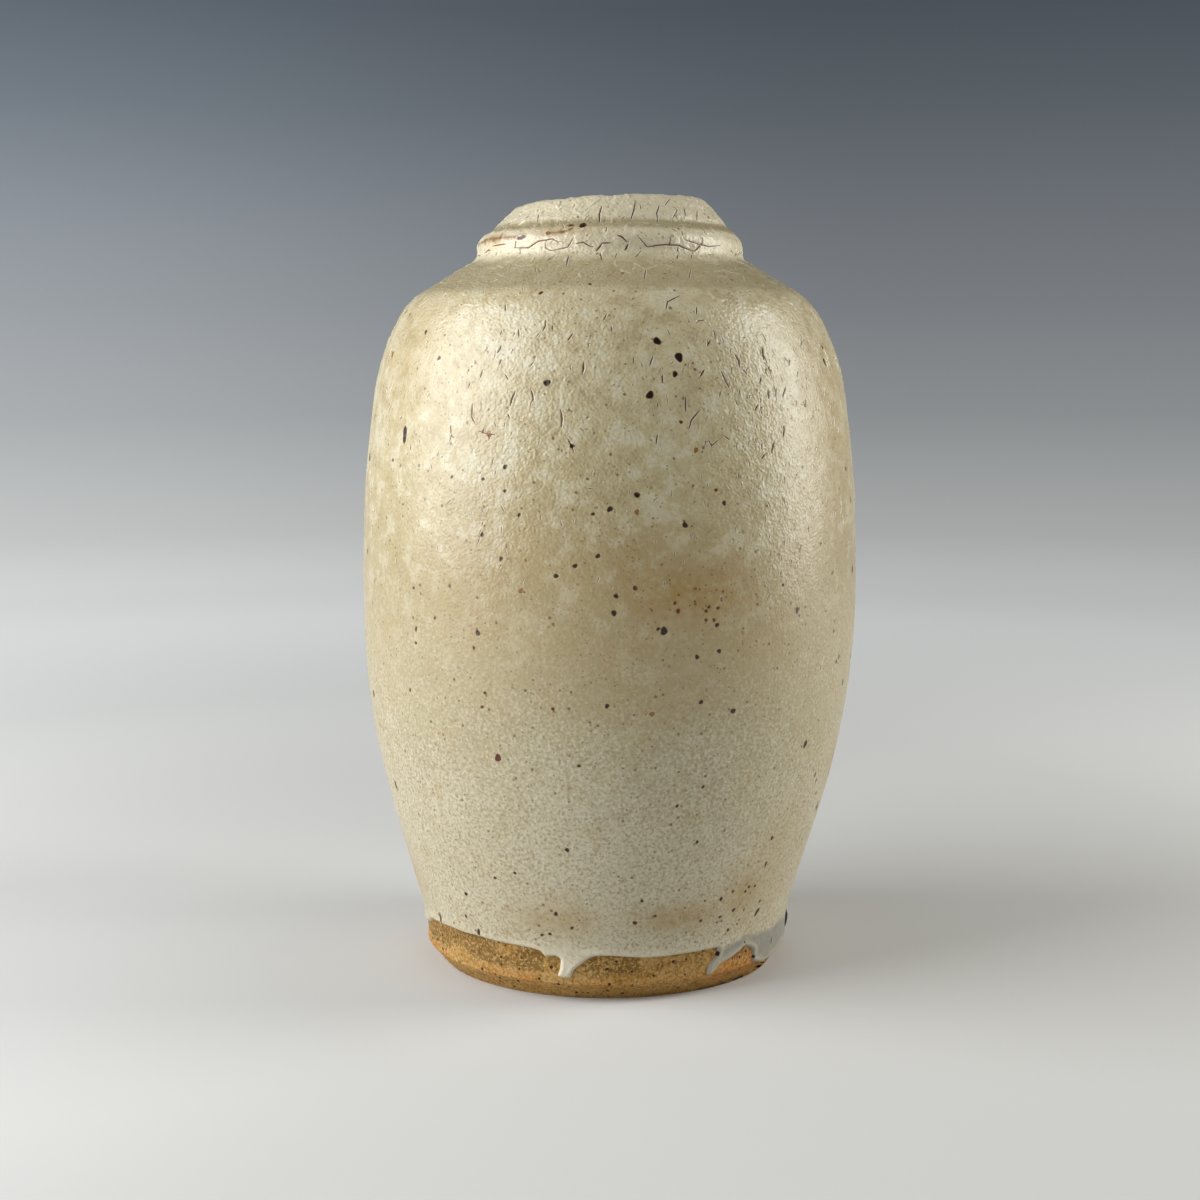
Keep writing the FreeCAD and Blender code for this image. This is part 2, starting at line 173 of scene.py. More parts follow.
class Path:
    """The outside of the clay from the foot's contact ring, over the lip, to the throat's foot."""

    STEP = 0.1 * MM
    BODY_SOFT = 25
    COLLAR_SOFT = 4

    def __init__(self):
        places = np.concatenate([
            stretch("lower_bowl", (1, -2), (0.1, 1)),
            stretch("upper_bowl", (1, -1), (0.1, 1)),
            stretch("neck_slip_seam", (1, -1), (0.1, 1)),
            stretch("collar", (1, -1), (-1, -0.1)),
        ])
        gaps = np.linalg.norm(np.diff(places, axis=0), axis=1)
        places = places[np.append(True, gaps > TINY)]
        along = np.append(0, np.cumsum(np.linalg.norm(np.diff(places, axis=0), axis=1)))
        self.s = np.arange(0, along[-1], self.STEP)
        radius, height = (np.interp(self.s, along, values) for values in places.T)
        body = (height > 9 * MM) & (height < 208 * MM)
        share = soften(body.astype(float), self.BODY_SOFT)
        self.r, self.z = (
            share * soften(values, self.BODY_SOFT) + (1 - share) * soften(values, self.COLLAR_SOFT)
            for values in (radius, height)
        )
        dr, dz = np.gradient(self.r), np.gradient(self.z)
        length = np.hypot(dr, dz)
        self.out_r = dz / length
        self.out_z = -dr / length
        self.crest = int(np.argmax(self.z))

    def at_height(self, height):
        """How far along the path the clay reaches a height on its outside."""
        return np.interp(height, self.z[:self.crest], self.s[:self.crest])

    def radius(self, s):
        return np.interp(s, self.s, self.r)

    def height(self, s):
        return np.interp(s, self.s, self.z)

    def place(self, angle, s, lift):
        """Points of the jar's skin, lifted from the clay by some length square to it, and out of true."""
        r = self.radius(s) + lift * np.interp(s, self.s, self.out_r)
        z = self.height(s) + lift * np.interp(s, self.s, self.out_z)
        return out_of_true(np.column_stack([r * np.sin(angle), -r * np.cos(angle), z]))


def out_of_true(points):
    """Moves points as the real jar departs from a round and level one."""
    x, y, z = points.T
    lean = LEAN * (1 - np.clip(z / LEAN_TOP, 0, 1))
    angle = np.arctan2(x, -y)
    tipped = TIP * np.cos(angle - TIP_FACES) * smoothstep(TIP_FOOT, TIP_TOP, z)
    return np.column_stack([x + lean, y, z + tipped])


path = Path()


# From pixels of the photograph to places on the jar. A line of sight is tried at these depths.
SIGHT_DEPTHS = np.linspace(0.5, 0.66, 1601)


def sight(column, row):
    """The direction in which the camera sees a pixel."""
    across = (column - PHOTO_CENTRE) / FOCAL_PIXELS
    up = (PHOTO_CENTRE - row) / FOCAL_PIXELS
    ahead = np.array((0, math.cos(CAMERA_DROP), -math.sin(CAMERA_DROP)))
    upward = np.array((0, math.sin(CAMERA_DROP), math.cos(CAMERA_DROP)))
    return ahead + across * np.array((1, 0, 0)) + up * upward


def on_jar(column, row):
    """The angle round the jar and the place along its path where the camera sees a pixel."""
    points = np.array(CAMERA_PLACE) + SIGHT_DEPTHS[:, None] * sight(column, row)
    height = points[:, 2]
    x = points[:, 0] - LEAN * (1 - np.clip(height / LEAN_TOP, 0, 1))
    outer_r = path.r[:path.crest] + COAT * path.out_r[:path.crest]
    outer_z = path.z[:path.crest] + COAT * path.out_z[:path.crest]
    excess = np.hypot(x, points[:, 1]) - np.interp(height, outer_z, outer_r)
    inside = np.flatnonzero(excess < 0)
    n = inside[0] if len(inside) else int(np.argmin(excess))
    s = np.interp(height[n], outer_z, path.s[:path.crest])
    return math.atan2(x[n], -points[n, 1]), float(s)


# Cracks that the photograph shows, read off three enlarged views of it. A view has the left and top
# pixel of its corner, and its enlargement. A crack has a strength, then its points in the view's pixels.
COLLAR_VIEW = (480, 170, 6.03)
LEFT_VIEW = (380, 270, 6.53)
RIGHT_VIEW = (620, 270, 6.53)
COLLAR_CRACKS = [
    (1.2, (735, 225), (722, 262), (720, 315)), (1.2, (937, 200), (930, 245), (910, 298)),
    (1.1, (1080, 228), (1065, 270), (1075, 320)), (0.7, (355, 260), (345, 305)),
    (0.7, (480, 290), (460, 335)), (0.8, (1225, 240), (1240, 290)), (0.7, (1190, 255), (1160, 300)),
    (0.7, (1307, 262), (1307, 310)), (0.7, (1145, 190), (1115, 230)), (0.6, (850, 305), (875, 280)),
    (1.0, (75, 460), (160, 445)), (0.9, (215, 425), (215, 470)),
    (1.0, (200, 470), (290, 470), (350, 430), (440, 415), (470, 435), (495, 430)),
    (0.9, (395, 430), (395, 470), (430, 485), (530, 465), (545, 440), (570, 400)),
    (1.0, (575, 445), (625, 435), (655, 455), (690, 465)), (1.1, (730, 440), (795, 440)),
    (1.6, (735, 445), (700, 490)), (1.2, (725, 500), (735, 540)), (1.3, (825, 390), (860, 405), (890, 435)),
    (1.6, (895, 445), (875, 485)),
    (1.2, (945, 390), (985, 435), (1010, 465), (1060, 455), (1130, 450), (1200, 455), (1290, 490),
     (1330, 450), (1380, 462), (1450, 455)),
    (1.0, (1145, 395), (1145, 450)), (0.9, (1235, 420), (1300, 440), (1330, 455)),
    (0.9, (1337, 400), (1337, 450)), (1.2, (1190, 465), (1195, 500), (1190, 540)),
    (0.9, (1280, 490), (1275, 530)), (1.0, (970, 485), (935, 525)), (1.0, (535, 515), (520, 580)),
    (0.7, (455, 505), (400, 550)), (0.8, (240, 475), (240, 510)), (0.7, (335, 590), (335, 620)),
    (0.9, (1000, 600), (990, 660)), (0.8, (1270, 600), (1260, 660)), (0.7, (825, 500), (815, 530)),
    (0.6, (1045, 545), (1055, 535)), (0.6, (1150, 565), (1170, 545)),
]
LEFT_CRACKS = [
    (0.9, (820, 225), (822, 270)), (0.9, (905, 385), (910, 440)),
    (1.0, (1085, 325), (1082, 360), (1065, 400)), (0.8, (1130, 360), (1130, 395)),
    (1.0, (795, 490), (782, 520), (765, 545)), (0.8, (795, 580), (780, 620)), (0.9, (670, 650), (655, 705)),
    (0.8, (815, 680), (840, 715)), (1.2, (885, 790), (862, 840), (850, 890)),
    (1.1, (985, 780), (997, 815), (1003, 855)), (1.0, (605, 870), (600, 960), (625, 1010)),
    (0.9, (460, 1010), (465, 1080)), (0.8, (490, 1100), (465, 1080), (455, 1130)),
    (0.8, (835, 940), (850, 970)), (1.2, (1180, 910), (1190, 970), (1185, 1030)),
    (0.9, (1480, 290), (1460, 330)), (0.8, (1510, 365), (1515, 405)), (1.0, (1260, 415), (1225, 465)),
    (1.1, (1330, 600), (1332, 640), (1320, 680)), (1.0, (1225, 1100), (1255, 1150), (1265, 1190)),
    (0.7, (740, 1230), (730, 1280)), (0.8, (710, 1075), (640, 1050)), (0.8, (710, 1075), (755, 1075)),
    (0.8, (710, 1075), (715, 1110)),
]
RIGHT_CRACKS = [
    (1.1, (395, 165), (310, 205), (300, 260)), (1.0, (500, 240), (500, 290)),
    (0.9, (495, 350), (510, 330), (555, 325)), (1.0, (610, 385), (622, 425), (620, 460)),
    (1.5, (590, 460), (570, 490)), (1.1, (215, 560), (205, 595), (195, 625)), (0.9, (90, 565), (90, 610)),
    (1.0, (280, 680), (275, 740)), (1.5, (550, 650), (520, 700)), (1.2, (660, 660), (685, 715), (715, 775)),
    (1.3, (745, 545), (775, 590), (780, 640)), (1.3, (925, 500), (932, 545), (940, 590)),
    (1.2, (920, 700), (915, 740)), (1.3, (965, 780), (970, 840)), (1.0, (1080, 765), (1060, 830)),
    (1.1, (430, 820), (428, 875), (430, 930)), (0.8, (245, 870), (250, 900)),
    (1.2, (520, 915), (465, 980), (450, 1040)), (0.9, (580, 1110), (595, 1150)),
    (0.9, (640, 1110), (595, 1150), (595, 1160)), (1.0, (245, 1070), (235, 1140)),
    (1.2, (900, 880), (880, 920)), (0.8, (755, 850), (765, 880)),
    (1.2, (1070, 1010), (1072, 1050), (1065, 1090)), (1.2, (1000, 1130), (990, 1200)),
    (1.2, (950, 1200), (920, 1240)), (0.9, (1190, 430), (1180, 500), (1190, 530)),
    (0.9, (1330, 760), (1335, 820)), (0.9, (1210, 840), (1210, 900)), (0.9, (670, 1075), (715, 1110)),
    (0.8, (1150, 850), (1155, 890)), (0.9, (655, 790), (650, 830)),
]
# Brown lines where the thick glaze of the flange ends, in the same form.
RUST_LINES = [
    (1.0, (-10, 455), (20, 432), (60, 418), (110, 412), (170, 408), (215, 404)),
    (0.9, (60, 425), (75, 400)), (0.9, (125, 412), (135, 385)),
    (1.1, (385, 384), (420, 380), (470, 374), (520, 370), (550, 358)), (1.3, (535, 334), (562, 338)),
    (1.5, (30, 420), (35, 440)),
]
# Raised edges of flakes, which catch the light and are given a painted highlight, in the same form.
COLLAR_RIDGES = [
    (1.0, (570, 235), (580, 252), (602, 262), (650, 230), (720, 180)),
    (0.8, (815, 160), (820, 188), (840, 202)), (0.8, (220, 575), (270, 582), (320, 570)),
    (0.9, (850, 600), (910, 625)), (0.9, (930, 560), (1000, 600), (1070, 575)),
    (0.8, (1120, 575), (1170, 590)), (0.8, (1415, 610), (1480, 608), (1560, 630)),
    (0.8, (495, 215), (470, 270)), (0.7, (830, 545), (905, 545)), (0.7, (600, 620), (610, 650)),
    (0.7, (60, 590), (100, 595)), (0.7, (105, 625), (140, 640)),
]


def read_cracks(view, cracks):
    """Cracks as (strength, [(angle, place along the path), ...])."""
    left, top, enlargement = view
    found = []
    for strength, *points in cracks:
        found.append((strength, [on_jar(left + x / enlargement, top + y / enlargement) for x, y in points]))
    return found


# Marks scattered at random. This share of the cracks forks.
FORKED = 0.12
CREASE_HEIGHT = 220.5 * MM


def wander(rng, angle, s, length, heading, bend):
    """A crack's points from a place and a heading, each stretch turned a little from the last."""
    points = [(angle, s)]
    stretches = 3
    for _ in range(stretches):
        radius = path.radius(s)
        angle += length / stretches * math.cos(heading) / radius
        s += length / stretches * math.sin(heading)
        heading += rng.normal(0, bend)
        points.append((angle, s))
    return points


def scatter(rng, count, angles, heights_mm, lengths_mm, strengths, lean):
    """Upright cracks, some of them forked, between two angles and two heights."""
    low, high = (path.at_height(h * MM) for h in heights_mm)
    found = []
    for _ in range(count):
        angle = rng.uniform(*angles)
        s = rng.uniform(low, high)
        length = rng.uniform(*lengths_mm) * MM
        heading = math.pi / 2 + rng.normal(0, lean)
        strength = rng.uniform(*strengths)
        points = wander(rng, angle, s, length, heading, 0.3)
        found.append((strength, points))
        if rng.random() < FORKED:
            side = rng.choice((-1, 1))
            fork = wander(rng, *points[2], length * 0.5, heading + side * 1.0, 0.3)
            found.append((strength * 0.8, fork))
    return found


def crease_net(rng, start, end):
    """The cracks of the crease under the flange: one that wanders round, with others across it."""
    found = []
    angle = start
    crease = path.at_height(CREASE_HEIGHT)
    while angle < end:
        count = rng.integers(3, 7)
        points = []
        for _ in range(count):
            points.append((angle, crease + rng.uniform(-1.0, 1.2) * MM))
            angle += rng.uniform(0.03, 0.07)
        found.append((rng.uniform(0.8, 1.3), points))
        for a, s in points[::2]:
            heading = math.pi / 2 * rng.choice((-1, 1)) + rng.normal(0, 0.5)
            strength = rng.uniform(0.8, 1.4)
            length = rng.uniform(1.5, 4.5) * MM
            found.append((strength, wander(rng, a, s, length, heading, 0.3)))
        angle -= rng.uniform(-0.04, 0.03)
    return found


# The angles where the part that the photograph shows ends, and starts again.
FRONT = math.radians(62)
BACK = math.tau - FRONT
ROUND = (0, math.tau)
# Scattered marks: how many, between which angles, heights in mm, lengths in mm and strengths, and their lean.
CRACK_GROUPS = [
    (190, (FRONT, BACK), (122, 208), (2, 7), (0.6, 1.3), 0.35),
    (120, (0.45, FRONT), (120, 194), (1, 3), (0.3, 0.7), 0.25),
    (70, (0.1, 0.6), (118, 196), (0.8, 2.4), (0.3, 0.6), 0.25),
    (90, (-FRONT, 0.1), (124, 196), (0.8, 2.4), (0.35, 0.7), 0.35),
    (40, (-FRONT, FRONT), (206, 216), (0.8, 2.2), (0.4, 0.7), 0.8),
    (34, (-FRONT, FRONT), (224, 233), (0.8, 2.4), (0.4, 0.7), 0.5),
    (36, (FRONT, BACK), (226, 233), (2, 4), (0.7, 1.2), 0.35),
    (40, (FRONT, BACK), (208, 217), (1.5, 4), (0.6, 1.1), 0.8),
]
RIDGE_GROUPS = [
    (90, ROUND, (203, 218), (1.5, 4), (0.6, 1.0), 1.3),
    (90, ROUND, (222, 235), (1.0, 3), (0.6, 1.0), 1.0),
]


def all_cracks():
    rng = np.random.default_rng(7)
    found = read_cracks(COLLAR_VIEW, COLLAR_CRACKS)
    found += read_cracks(LEFT_VIEW, LEFT_CRACKS)
    found += read_cracks(RIGHT_VIEW, RIGHT_CRACKS)
    for group in CRACK_GROUPS:
        found += scatter(rng, *group)
    return found + crease_net(rng, FRONT, BACK)


def all_ridges():
    rng = np.random.default_rng(11)
    found = read_cracks(COLLAR_VIEW, COLLAR_RIDGES)
    for group in RIDGE_GROUPS:
        found += scatter(rng, *group)
    return found


# Iron spots that the photograph shows: pixel column and row, and diameter in pixels.
BLACK_SPOTS = [
    (657, 341, 7), (679, 357, 8), (675, 374, 5), (650, 395, 7), (547, 383, 6), (572, 446, 4), (590, 284, 3),
    (426, 332, 4), (583, 225.6, 7), (505, 467, 4), (452, 477, 3), (483, 479, 3), (505, 491, 3),
    (393, 460, 3), (482, 535, 4), (519, 515, 3), (610, 509, 5), (593, 514, 3), (637, 495, 5), (685, 525, 5),
    (724, 503, 4), (501, 559, 4), (598, 556, 4), (575, 566, 4), (556, 576, 4), (616, 596, 4), (614, 613, 5),
    (664, 631, 7), (658, 629, 3), (717, 625, 4), (783, 585, 3), (719, 651, 4), (697, 657, 4), (834, 631, 3),
    (832, 573, 3), (821, 544, 3), (414, 588, 3), (416, 643, 3), (478, 633, 5), (410, 690, 3), (607, 706, 4),
    (701, 702, 4), (733, 711, 5), (579, 766, 3), (567, 850, 4), (772, 838, 4), (697, 842, 3), (677, 806, 3),
    (466, 894, 4), (495, 878, 3), (515, 873, 3), (466, 916, 3), (556, 914, 4), (572, 928, 3), (542, 935, 3),
    (550, 934, 3), (635, 923, 4), (642, 901, 3), (721, 899, 4), (733.6, 910, 4), (759.7, 901, 3),
    (755, 886, 3), (749, 887, 3), (745.5, 891.5, 3), (733, 891.5, 3), (744, 909.5, 2), (716.8, 922.5, 2),
    (720, 917, 3), (739, 920, 2), (737, 924, 2), (728, 930, 3), (705, 901, 2), (718, 954, 4),
    (711, 958.5, 3), (725.6, 965, 6), (745.5, 947.8, 3), (754, 956.6, 3), (744, 942, 2),
]
RED_SPOTS = [
    (541, 293, 4), (439, 358, 4), (716, 490, 3), (681, 422, 3), (635, 588, 4), (678, 611, 4), (675, 603, 3),
    (709, 607, 3), (718, 608, 3), (706, 611, 3), (706, 620, 3), (714, 620, 3), (498, 758, 7), (703, 787, 3),
    (482, 707, 3), (485, 693, 3), (553, 709, 3), (474, 648, 3), (450, 586, 3), (435, 618, 3),
    (571, 225.6, 4), (655, 916, 3), (700.7, 921, 3), (742.5, 954.7, 3),
]
ORANGE_SPOTS = [(637, 512, 4), (696, 450, 4), (521, 591, 4), (652, 714, 4), (548, 233, 4), (489, 434, 5)]
# Long spots: column, row, width and height in pixels, and how far they lean to the right, in degrees.
LONG_SPOTS = [
    (405, 434, 7, 15, 0), (797, 611, 4, 6, 0), (416, 629, 3, 5, 0), (805, 744, 5, 9, 10),
    (815, 775, 2, 7, 10), (766, 864, 3, 5, 20), (441, 918, 4, 9, 0), (479, 932, 4, 6, 0),
    (757, 911.5, 4, 9, 25), (676, 197.5, 3, 9, 115), (771, 940.5, 2, 7, 15), (521.5, 237.5, 3, 11, 85),
]
# The photograph's scale at the jar, and how much smaller a spot is than its dark blur there.
PIXELS_PER_METRE = 3200
SPOT_SCALE = 0.9
TONES = {"black": 0.0, "red": 0.5, "orange": 1.0}
# How many spots and stains are scattered over the sides and the back, and between which heights.
SCATTERED_SPOTS = 260
SPOT_HEIGHTS_MM = (14, 215)
LARGEST_SPOT = 2.4 * MM
SCATTERED_STAINS = 46
STAIN_HEIGHTS_MM = (14, 190)
# How far round the jar those stains keep from what the photograph shows.
STAIN_MARGIN = 0.3


class Spot:
    """A spot of iron: its place, half width and half height, lean, tone, and a seed for its outline."""

    def __init__(self, place, width, height, lean, tone, seed):
        self.angle, self.s = place
        self.half = (width / 2, height / 2)
        self.lean = lean
        self.tone = TONES[tone]
        self.seed = seed

    def reach(self):
        return max(self.half) + 0.3 * MM


def all_spots():
    spots = []
    for tone, rows in (("black", BLACK_SPOTS), ("red", RED_SPOTS), ("orange", ORANGE_SPOTS)):
        for column, row, across in rows:
            size = across / PIXELS_PER_METRE * SPOT_SCALE
            spots.append(Spot(on_jar(column, row), size, size, 0.0, tone, len(spots)))
    for column, row, width, height, lean in LONG_SPOTS:
        place = on_jar(column, row)
        size = [length / PIXELS_PER_METRE * SPOT_SCALE for length in (width, height)]
        spots.append(Spot(place, *size, math.radians(lean), "black", len(spots)))
    rng = np.random.default_rng(3)
    for _ in range(SCATTERED_SPOTS):
        angle = rng.uniform(FRONT, BACK)
        s = path.at_height(rng.uniform(*SPOT_HEIGHTS_MM) * MM)
        size = min((0.7 + rng.exponential(0.45)) * MM, LARGEST_SPOT)
        tone = rng.choice(["black", "black", "red", "orange"])
        stretch_up = rng.uniform(1.0, 1.4)
        spots.append(Spot((angle, s), size, size * stretch_up, rng.normal(0, 0.3), tone, len(spots)))
    return spots


# The lower edge of the glaze, as the photograph shows it from left to right, in pixels.
GLAZE_EDGE = [
    (432, 919), (441, 924), (452, 928.5), (463, 933), (478, 937), (495, 942), (520, 947), (537, 951),
    (542, 954.4), (544.7, 957.3), (554.4, 956.7), (559.6, 959.6), (560, 963.6), (559, 970.5),
    (557.3, 976.3), (563.6, 978.6), (570.5, 978), (574, 970.5), (582, 964.2), (588.9, 959.6),
    (594.6, 957.3), (611.8, 957), (646, 958.5), (663.5, 957.3), (680.7, 955), (697.7, 952.4), (713, 949.3),
    (719, 948.9), (715.3, 958), (710.7, 963.5), (708.8, 968.8), (708, 974.2), (709.9, 975.7), (716, 971),
    (720.6, 965), (729.8, 959.6), (735.9, 955), (742, 949.7), (745, 946.6), (749.7, 947.4), (753.6, 950.4),
    (753.2, 955.8), (753.6, 961.2), (756.6, 963), (762, 961.5),
]
# Where the run ends behind the outline, its edge's height there, and the edge's mean height elsewhere.
RUN_END = math.radians(118)
RUN_HEIGHT = 5.4 * MM
LINE_HEIGHT = 12.6 * MM


def glaze_edge():
    """The edge all round, as (angle, place along the path) points from its left end in the photograph."""
    points = [on_jar(column, row) for column, row in GLAZE_EDGE]
    rng = np.random.default_rng(5)
    angle = points[-1][0] + 0.08
    while angle < points[0][0] + math.tau - 0.08:
        run_share = 1 - smoothstep(RUN_END - 0.25, RUN_END + 0.1, angle)
        height = LINE_HEIGHT + (RUN_HEIGHT - LINE_HEIGHT) * run_share
        height += rng.normal(0, 0.45) * MM
        points.append((angle, float(path.at_height(height))))
        angle += rng.uniform(0.05, 0.12)
    points.append((points[0][0] + math.tau, points[0][1]))
    return np.array(points)


def rounded(points, steps):
    """A line's points with its corners rounded, as a spline through them."""
    found = []
    padded = np.vstack([2 * points[0] - points[1], points, 2 * points[-1] - points[-2]])
    for a, b, c, d in zip(padded, padded[1:], padded[2:], padded[3:]):
        for t in np.arange(steps) / steps:
            found.append(0.5 * (2 * b + (c - a) * t + (2 * a - 5 * b + 4 * c - d) * t ** 2
                                + (3 * b - a - 3 * c + d) * t ** 3))
    found.append(points[-1])
    return np.array(found)


# Fields over the coat's points
class Skin:
    """Places on the jar's outside, sorted by angle, so that what lies near a mark is found quickly."""

    def __init__(self, angle, s):
        self.angle = np.mod(angle + math.pi, math.tau) - math.pi
        self.s = s
        self.radius = path.radius(s)
        self.order = np.argsort(self.angle)
        self.sorted = self.angle[self.order]

    def near(self, angle, s, reach):
        """The places near some points, with their offsets from the first point, and the points' offsets."""
        angle, s = np.asarray(angle), np.asarray(s)
        first = math.remainder(angle[0], math.tau)
        angle = angle - angle[0] + first
        widest = reach / np.min(path.radius(s))
        ends = np.array((angle.min() - widest, angle.max() + widest))
        found = []
        for turn in (-math.tau, 0, math.tau):
            low, high = np.searchsorted(self.sorted, ends + turn)
            numbers = self.order[low:high]
            numbers = numbers[(self.s[numbers] > s.min() - reach) & (self.s[numbers] < s.max() + reach)]
            offset = (self.angle[numbers] - turn - first) * self.radius[numbers]
            found.append((numbers, offset, self.s[numbers] - s[0]))
        numbers, across, up = (np.concatenate(values) for values in zip(*found))
        line = np.column_stack([(angle - first) * path.radius(s), s - s[0]])
        return numbers, np.column_stack([across, up]), line


def along_line(points, line):
    """Each point's distance from a line of stretches, how far along it lies, as a share, and its side.

    The side is the distance from the nearest stretch drawn on past its ends, less than 0 on its right.
    """
    lengths = np.maximum(np.linalg.norm(np.diff(line, axis=0), axis=1), TINY)
    nearest = np.full(len(points), 1.0)
    share = np.zeros(len(points))
    side = np.zeros(len(points))
    before = 0.0
    for a, b, length in zip(line, line[1:], lengths):
        ahead = (b - a) / length
        offset = points - a
        t = np.clip(offset @ ahead, 0, length)
        distance = np.linalg.norm(offset - t[:, None] * ahead, axis=1)
        closer = distance < nearest
        nearest = np.where(closer, distance, nearest)
        share = np.where(closer, (before + t) / lengths.sum(), share)
        signed = ahead[0] * offset[:, 1] - ahead[1] * offset[:, 0]
        side = np.where(closer, signed, side)
        before += length
    return nearest, share, side


# A crack's half width, how far its fields reach, and how far past its sides its half width is known.
CRACK_HALF = 0.165 * MM
CRACK_REACH = 1.2 * MM
CRACK_MARGIN = 0.34 * MM


def crack_fields(skin, cracks):
    """How deep each place is in a crack, its distance from the crack's middle, and half the crack's width.

    The depth is from 0 to 1. The distance has a sign for its side, so that it runs evenly through 0 at the
    crack, however wide the mesh's cells are. Half the width is 0 far from cracks. Both are in millimetres.
    """
    depth = np.zeros(len(skin.s))
    nearest = np.full(len(skin.s), CRACK_REACH)
    side = np.full(len(skin.s), CRACK_REACH)
    half = np.zeros(len(skin.s))
    for strength, points in cracks:
        numbers, offsets, line = skin.near(*zip(*points), CRACK_REACH)
        distance, share, signed = along_line(offsets, line)
        taper = np.clip(1 - np.abs(2 * share - 1) ** 3, 0, 1)
        taper = 0.3 + 0.7 * taper
        width = CRACK_HALF * strength * taper
        inside = 1 - smoothstep(0.4 * width, width + 0.22 * MM, distance)
        inside = inside * taper * min(strength, 1.2)
        depth[numbers] = np.maximum(depth[numbers], inside)
        beside = (share > 0) & (share < 1) & (distance < width + CRACK_MARGIN)
        closer = distance < nearest[numbers]
        chosen = numbers[closer]
        nearest[chosen] = distance[closer]
        side[chosen] = signed[closer]
        half[chosen] = np.where(beside, width, 0)[closer]
    return depth, side / MM, half / MM


def line_field(skin, lines, width):
    """How near each place is to one of some lines, from 0 to 1."""
    found = np.zeros(len(skin.s))
    for strength, points in lines:
        numbers, offsets, line = skin.near(*zip(*points), 3 * width)
        distance, _, _ = along_line(offsets, line)
        found[numbers] = np.maximum(found[numbers], strength * bell(distance, width))
    return np.clip(found, 0, 1)


def spot_fields(skin, spots):
    """How far each place is inside a spot, and the spot's tone."""
    iron = np.zeros(len(skin.s))
    tone = np.zeros(len(skin.s))
    for spot in spots:
        numbers, offsets, _ = skin.near([spot.angle], [spot.s], spot.reach() * 1.4)
        cos, sin = math.cos(spot.lean), math.sin(spot.lean)
        across, up = (offsets @ np.array([[cos, sin], [-sin, cos]])).T
        bearing = np.arctan2(up, across)
        wave = 1 + 0.12 * np.sin(2 * bearing + spot.seed) + 0.09 * np.sin(3 * bearing + 2.3 * spot.seed)
        measure = np.hypot(across / spot.half[0], up / spot.half[1]) * wave
        soft = min(0.3 * MM / min(spot.half), 0.9)
        inside = 1 - smoothstep(1 - soft, 1 + soft, measure)
        tone[numbers] = np.where(inside > iron[numbers], spot.tone, tone[numbers])
        iron[numbers] = np.maximum(iron[numbers], inside)
    return iron, tone


# The height below which the glaze's lower edge is looked for.
EDGE_TOP = 24 * MM


def edge_field(skin, line):
    """Each place's distance from the glaze's lower edge: more than 0 in the glaze, less than 0 below it."""
    low = np.flatnonzero(skin.s < path.at_height(EDGE_TOP))
    angle = np.mod(skin.angle[low] - line[0, 0], math.tau) + line[0, 0]
    s = skin.s[low]
    radius = path.radius(path.at_height(LINE_HEIGHT))
    nearest = np.full(len(low), EDGE_TOP)
    crossings = np.zeros(len(low), int)
    for (a, sa), (b, sb) in zip(line, line[1:]):
        run = (b - a) * radius
        rise = sb - sa
        for turn in (-math.tau, 0, math.tau):
            across = (angle + turn - a) * radius
            close = (across > min(run, 0) - 4 * MM) & (across < max(run, 0) + 4 * MM)
            t = np.clip((across * run + (s - sa) * rise) / max(run ** 2 + rise ** 2, TINY ** 2), 0, 1)
            distance = np.hypot(across - t * run, s - sa - t * rise)
            nearest = np.where(close & (distance < nearest), distance, nearest)
        if a != b:
            spans = (angle >= min(a, b)) & (angle < max(a, b))
            crossings += spans & (sa + (angle - a) / (b - a) * rise < s)
    inside = crossings % 2 == 1
    field = np.full(len(skin.s), EDGE_TOP)
    field[low] = np.where(inside, nearest, -nearest)
    return field


# Soft patches of colour: their middle's column and row, half width and half height, in pixels, and strength.
STAINS = [
    (690, 597, 62, 30, 1.0), (640, 645, 50, 24, 0.4), (680, 918, 42, 14, 0.8), (555, 920, 40, 16, 0.6),
    (745, 893, 26, 26, 0.7), (645, 575, 65, 36, 0.5), (470, 600, 60, 50, 0.4), (745, 640, 60, 40, 0.35),
    (520, 560, 60, 60, 0.25), (700, 652, 50, 22, 0.35), (489, 434, 9, 9, 0.5), (560, 231, 30, 5, 0.7),
    (495, 239, 14, 5, 0.9), (640, 700, 90, 30, 0.3), (410, 350, 40, 60, 0.3), (830, 420, 40, 90, 0.3),
    (770, 870, 30, 50, 0.3),
]
# Thick pale glaze on the drip and beside it, made paler still as painted light over the shade under the drip.
THICK_GLAZE_AND_PAINTED_LIGHT = [(562, 964, 15, 16, 1.0), (530, 951, 24, 6, 0.8), (590, 952, 20, 5, 0.7), (640, 956, 40, 5, 0.4)]
# The soft upper edge of the blue glaze of the run, from left to right, in pixels.
BLUE_TOP = [(709, 962), (717, 951), (731, 943), (745, 936), (758, 932), (771, 928), (779, 919), (785, 914)]


def seen_patches(rows):
    """Patches that the photograph shows, as places on the skin with sizes in metres."""
    return [
        (on_jar(column, row), half_width / PIXELS_PER_METRE, half_height / PIXELS_PER_METRE, strength)
        for column, row, half_width, half_height, strength in rows
    ]


def scattered_patches():
    """Stains like the front's for the sides and the back."""
    rng = np.random.default_rng(17)
    found = []
    for _ in range(SCATTERED_STAINS):
        angle = rng.uniform(FRONT + STAIN_MARGIN, BACK - STAIN_MARGIN)
        s = float(path.at_height(rng.uniform(*STAIN_HEIGHTS_MM) * MM))
        half_width, half_height = rng.uniform(7, 18) * MM, rng.uniform(3, 9) * MM
        found.append(((angle, s), half_width, half_height, rng.uniform(0.25, 0.9)))
    return found


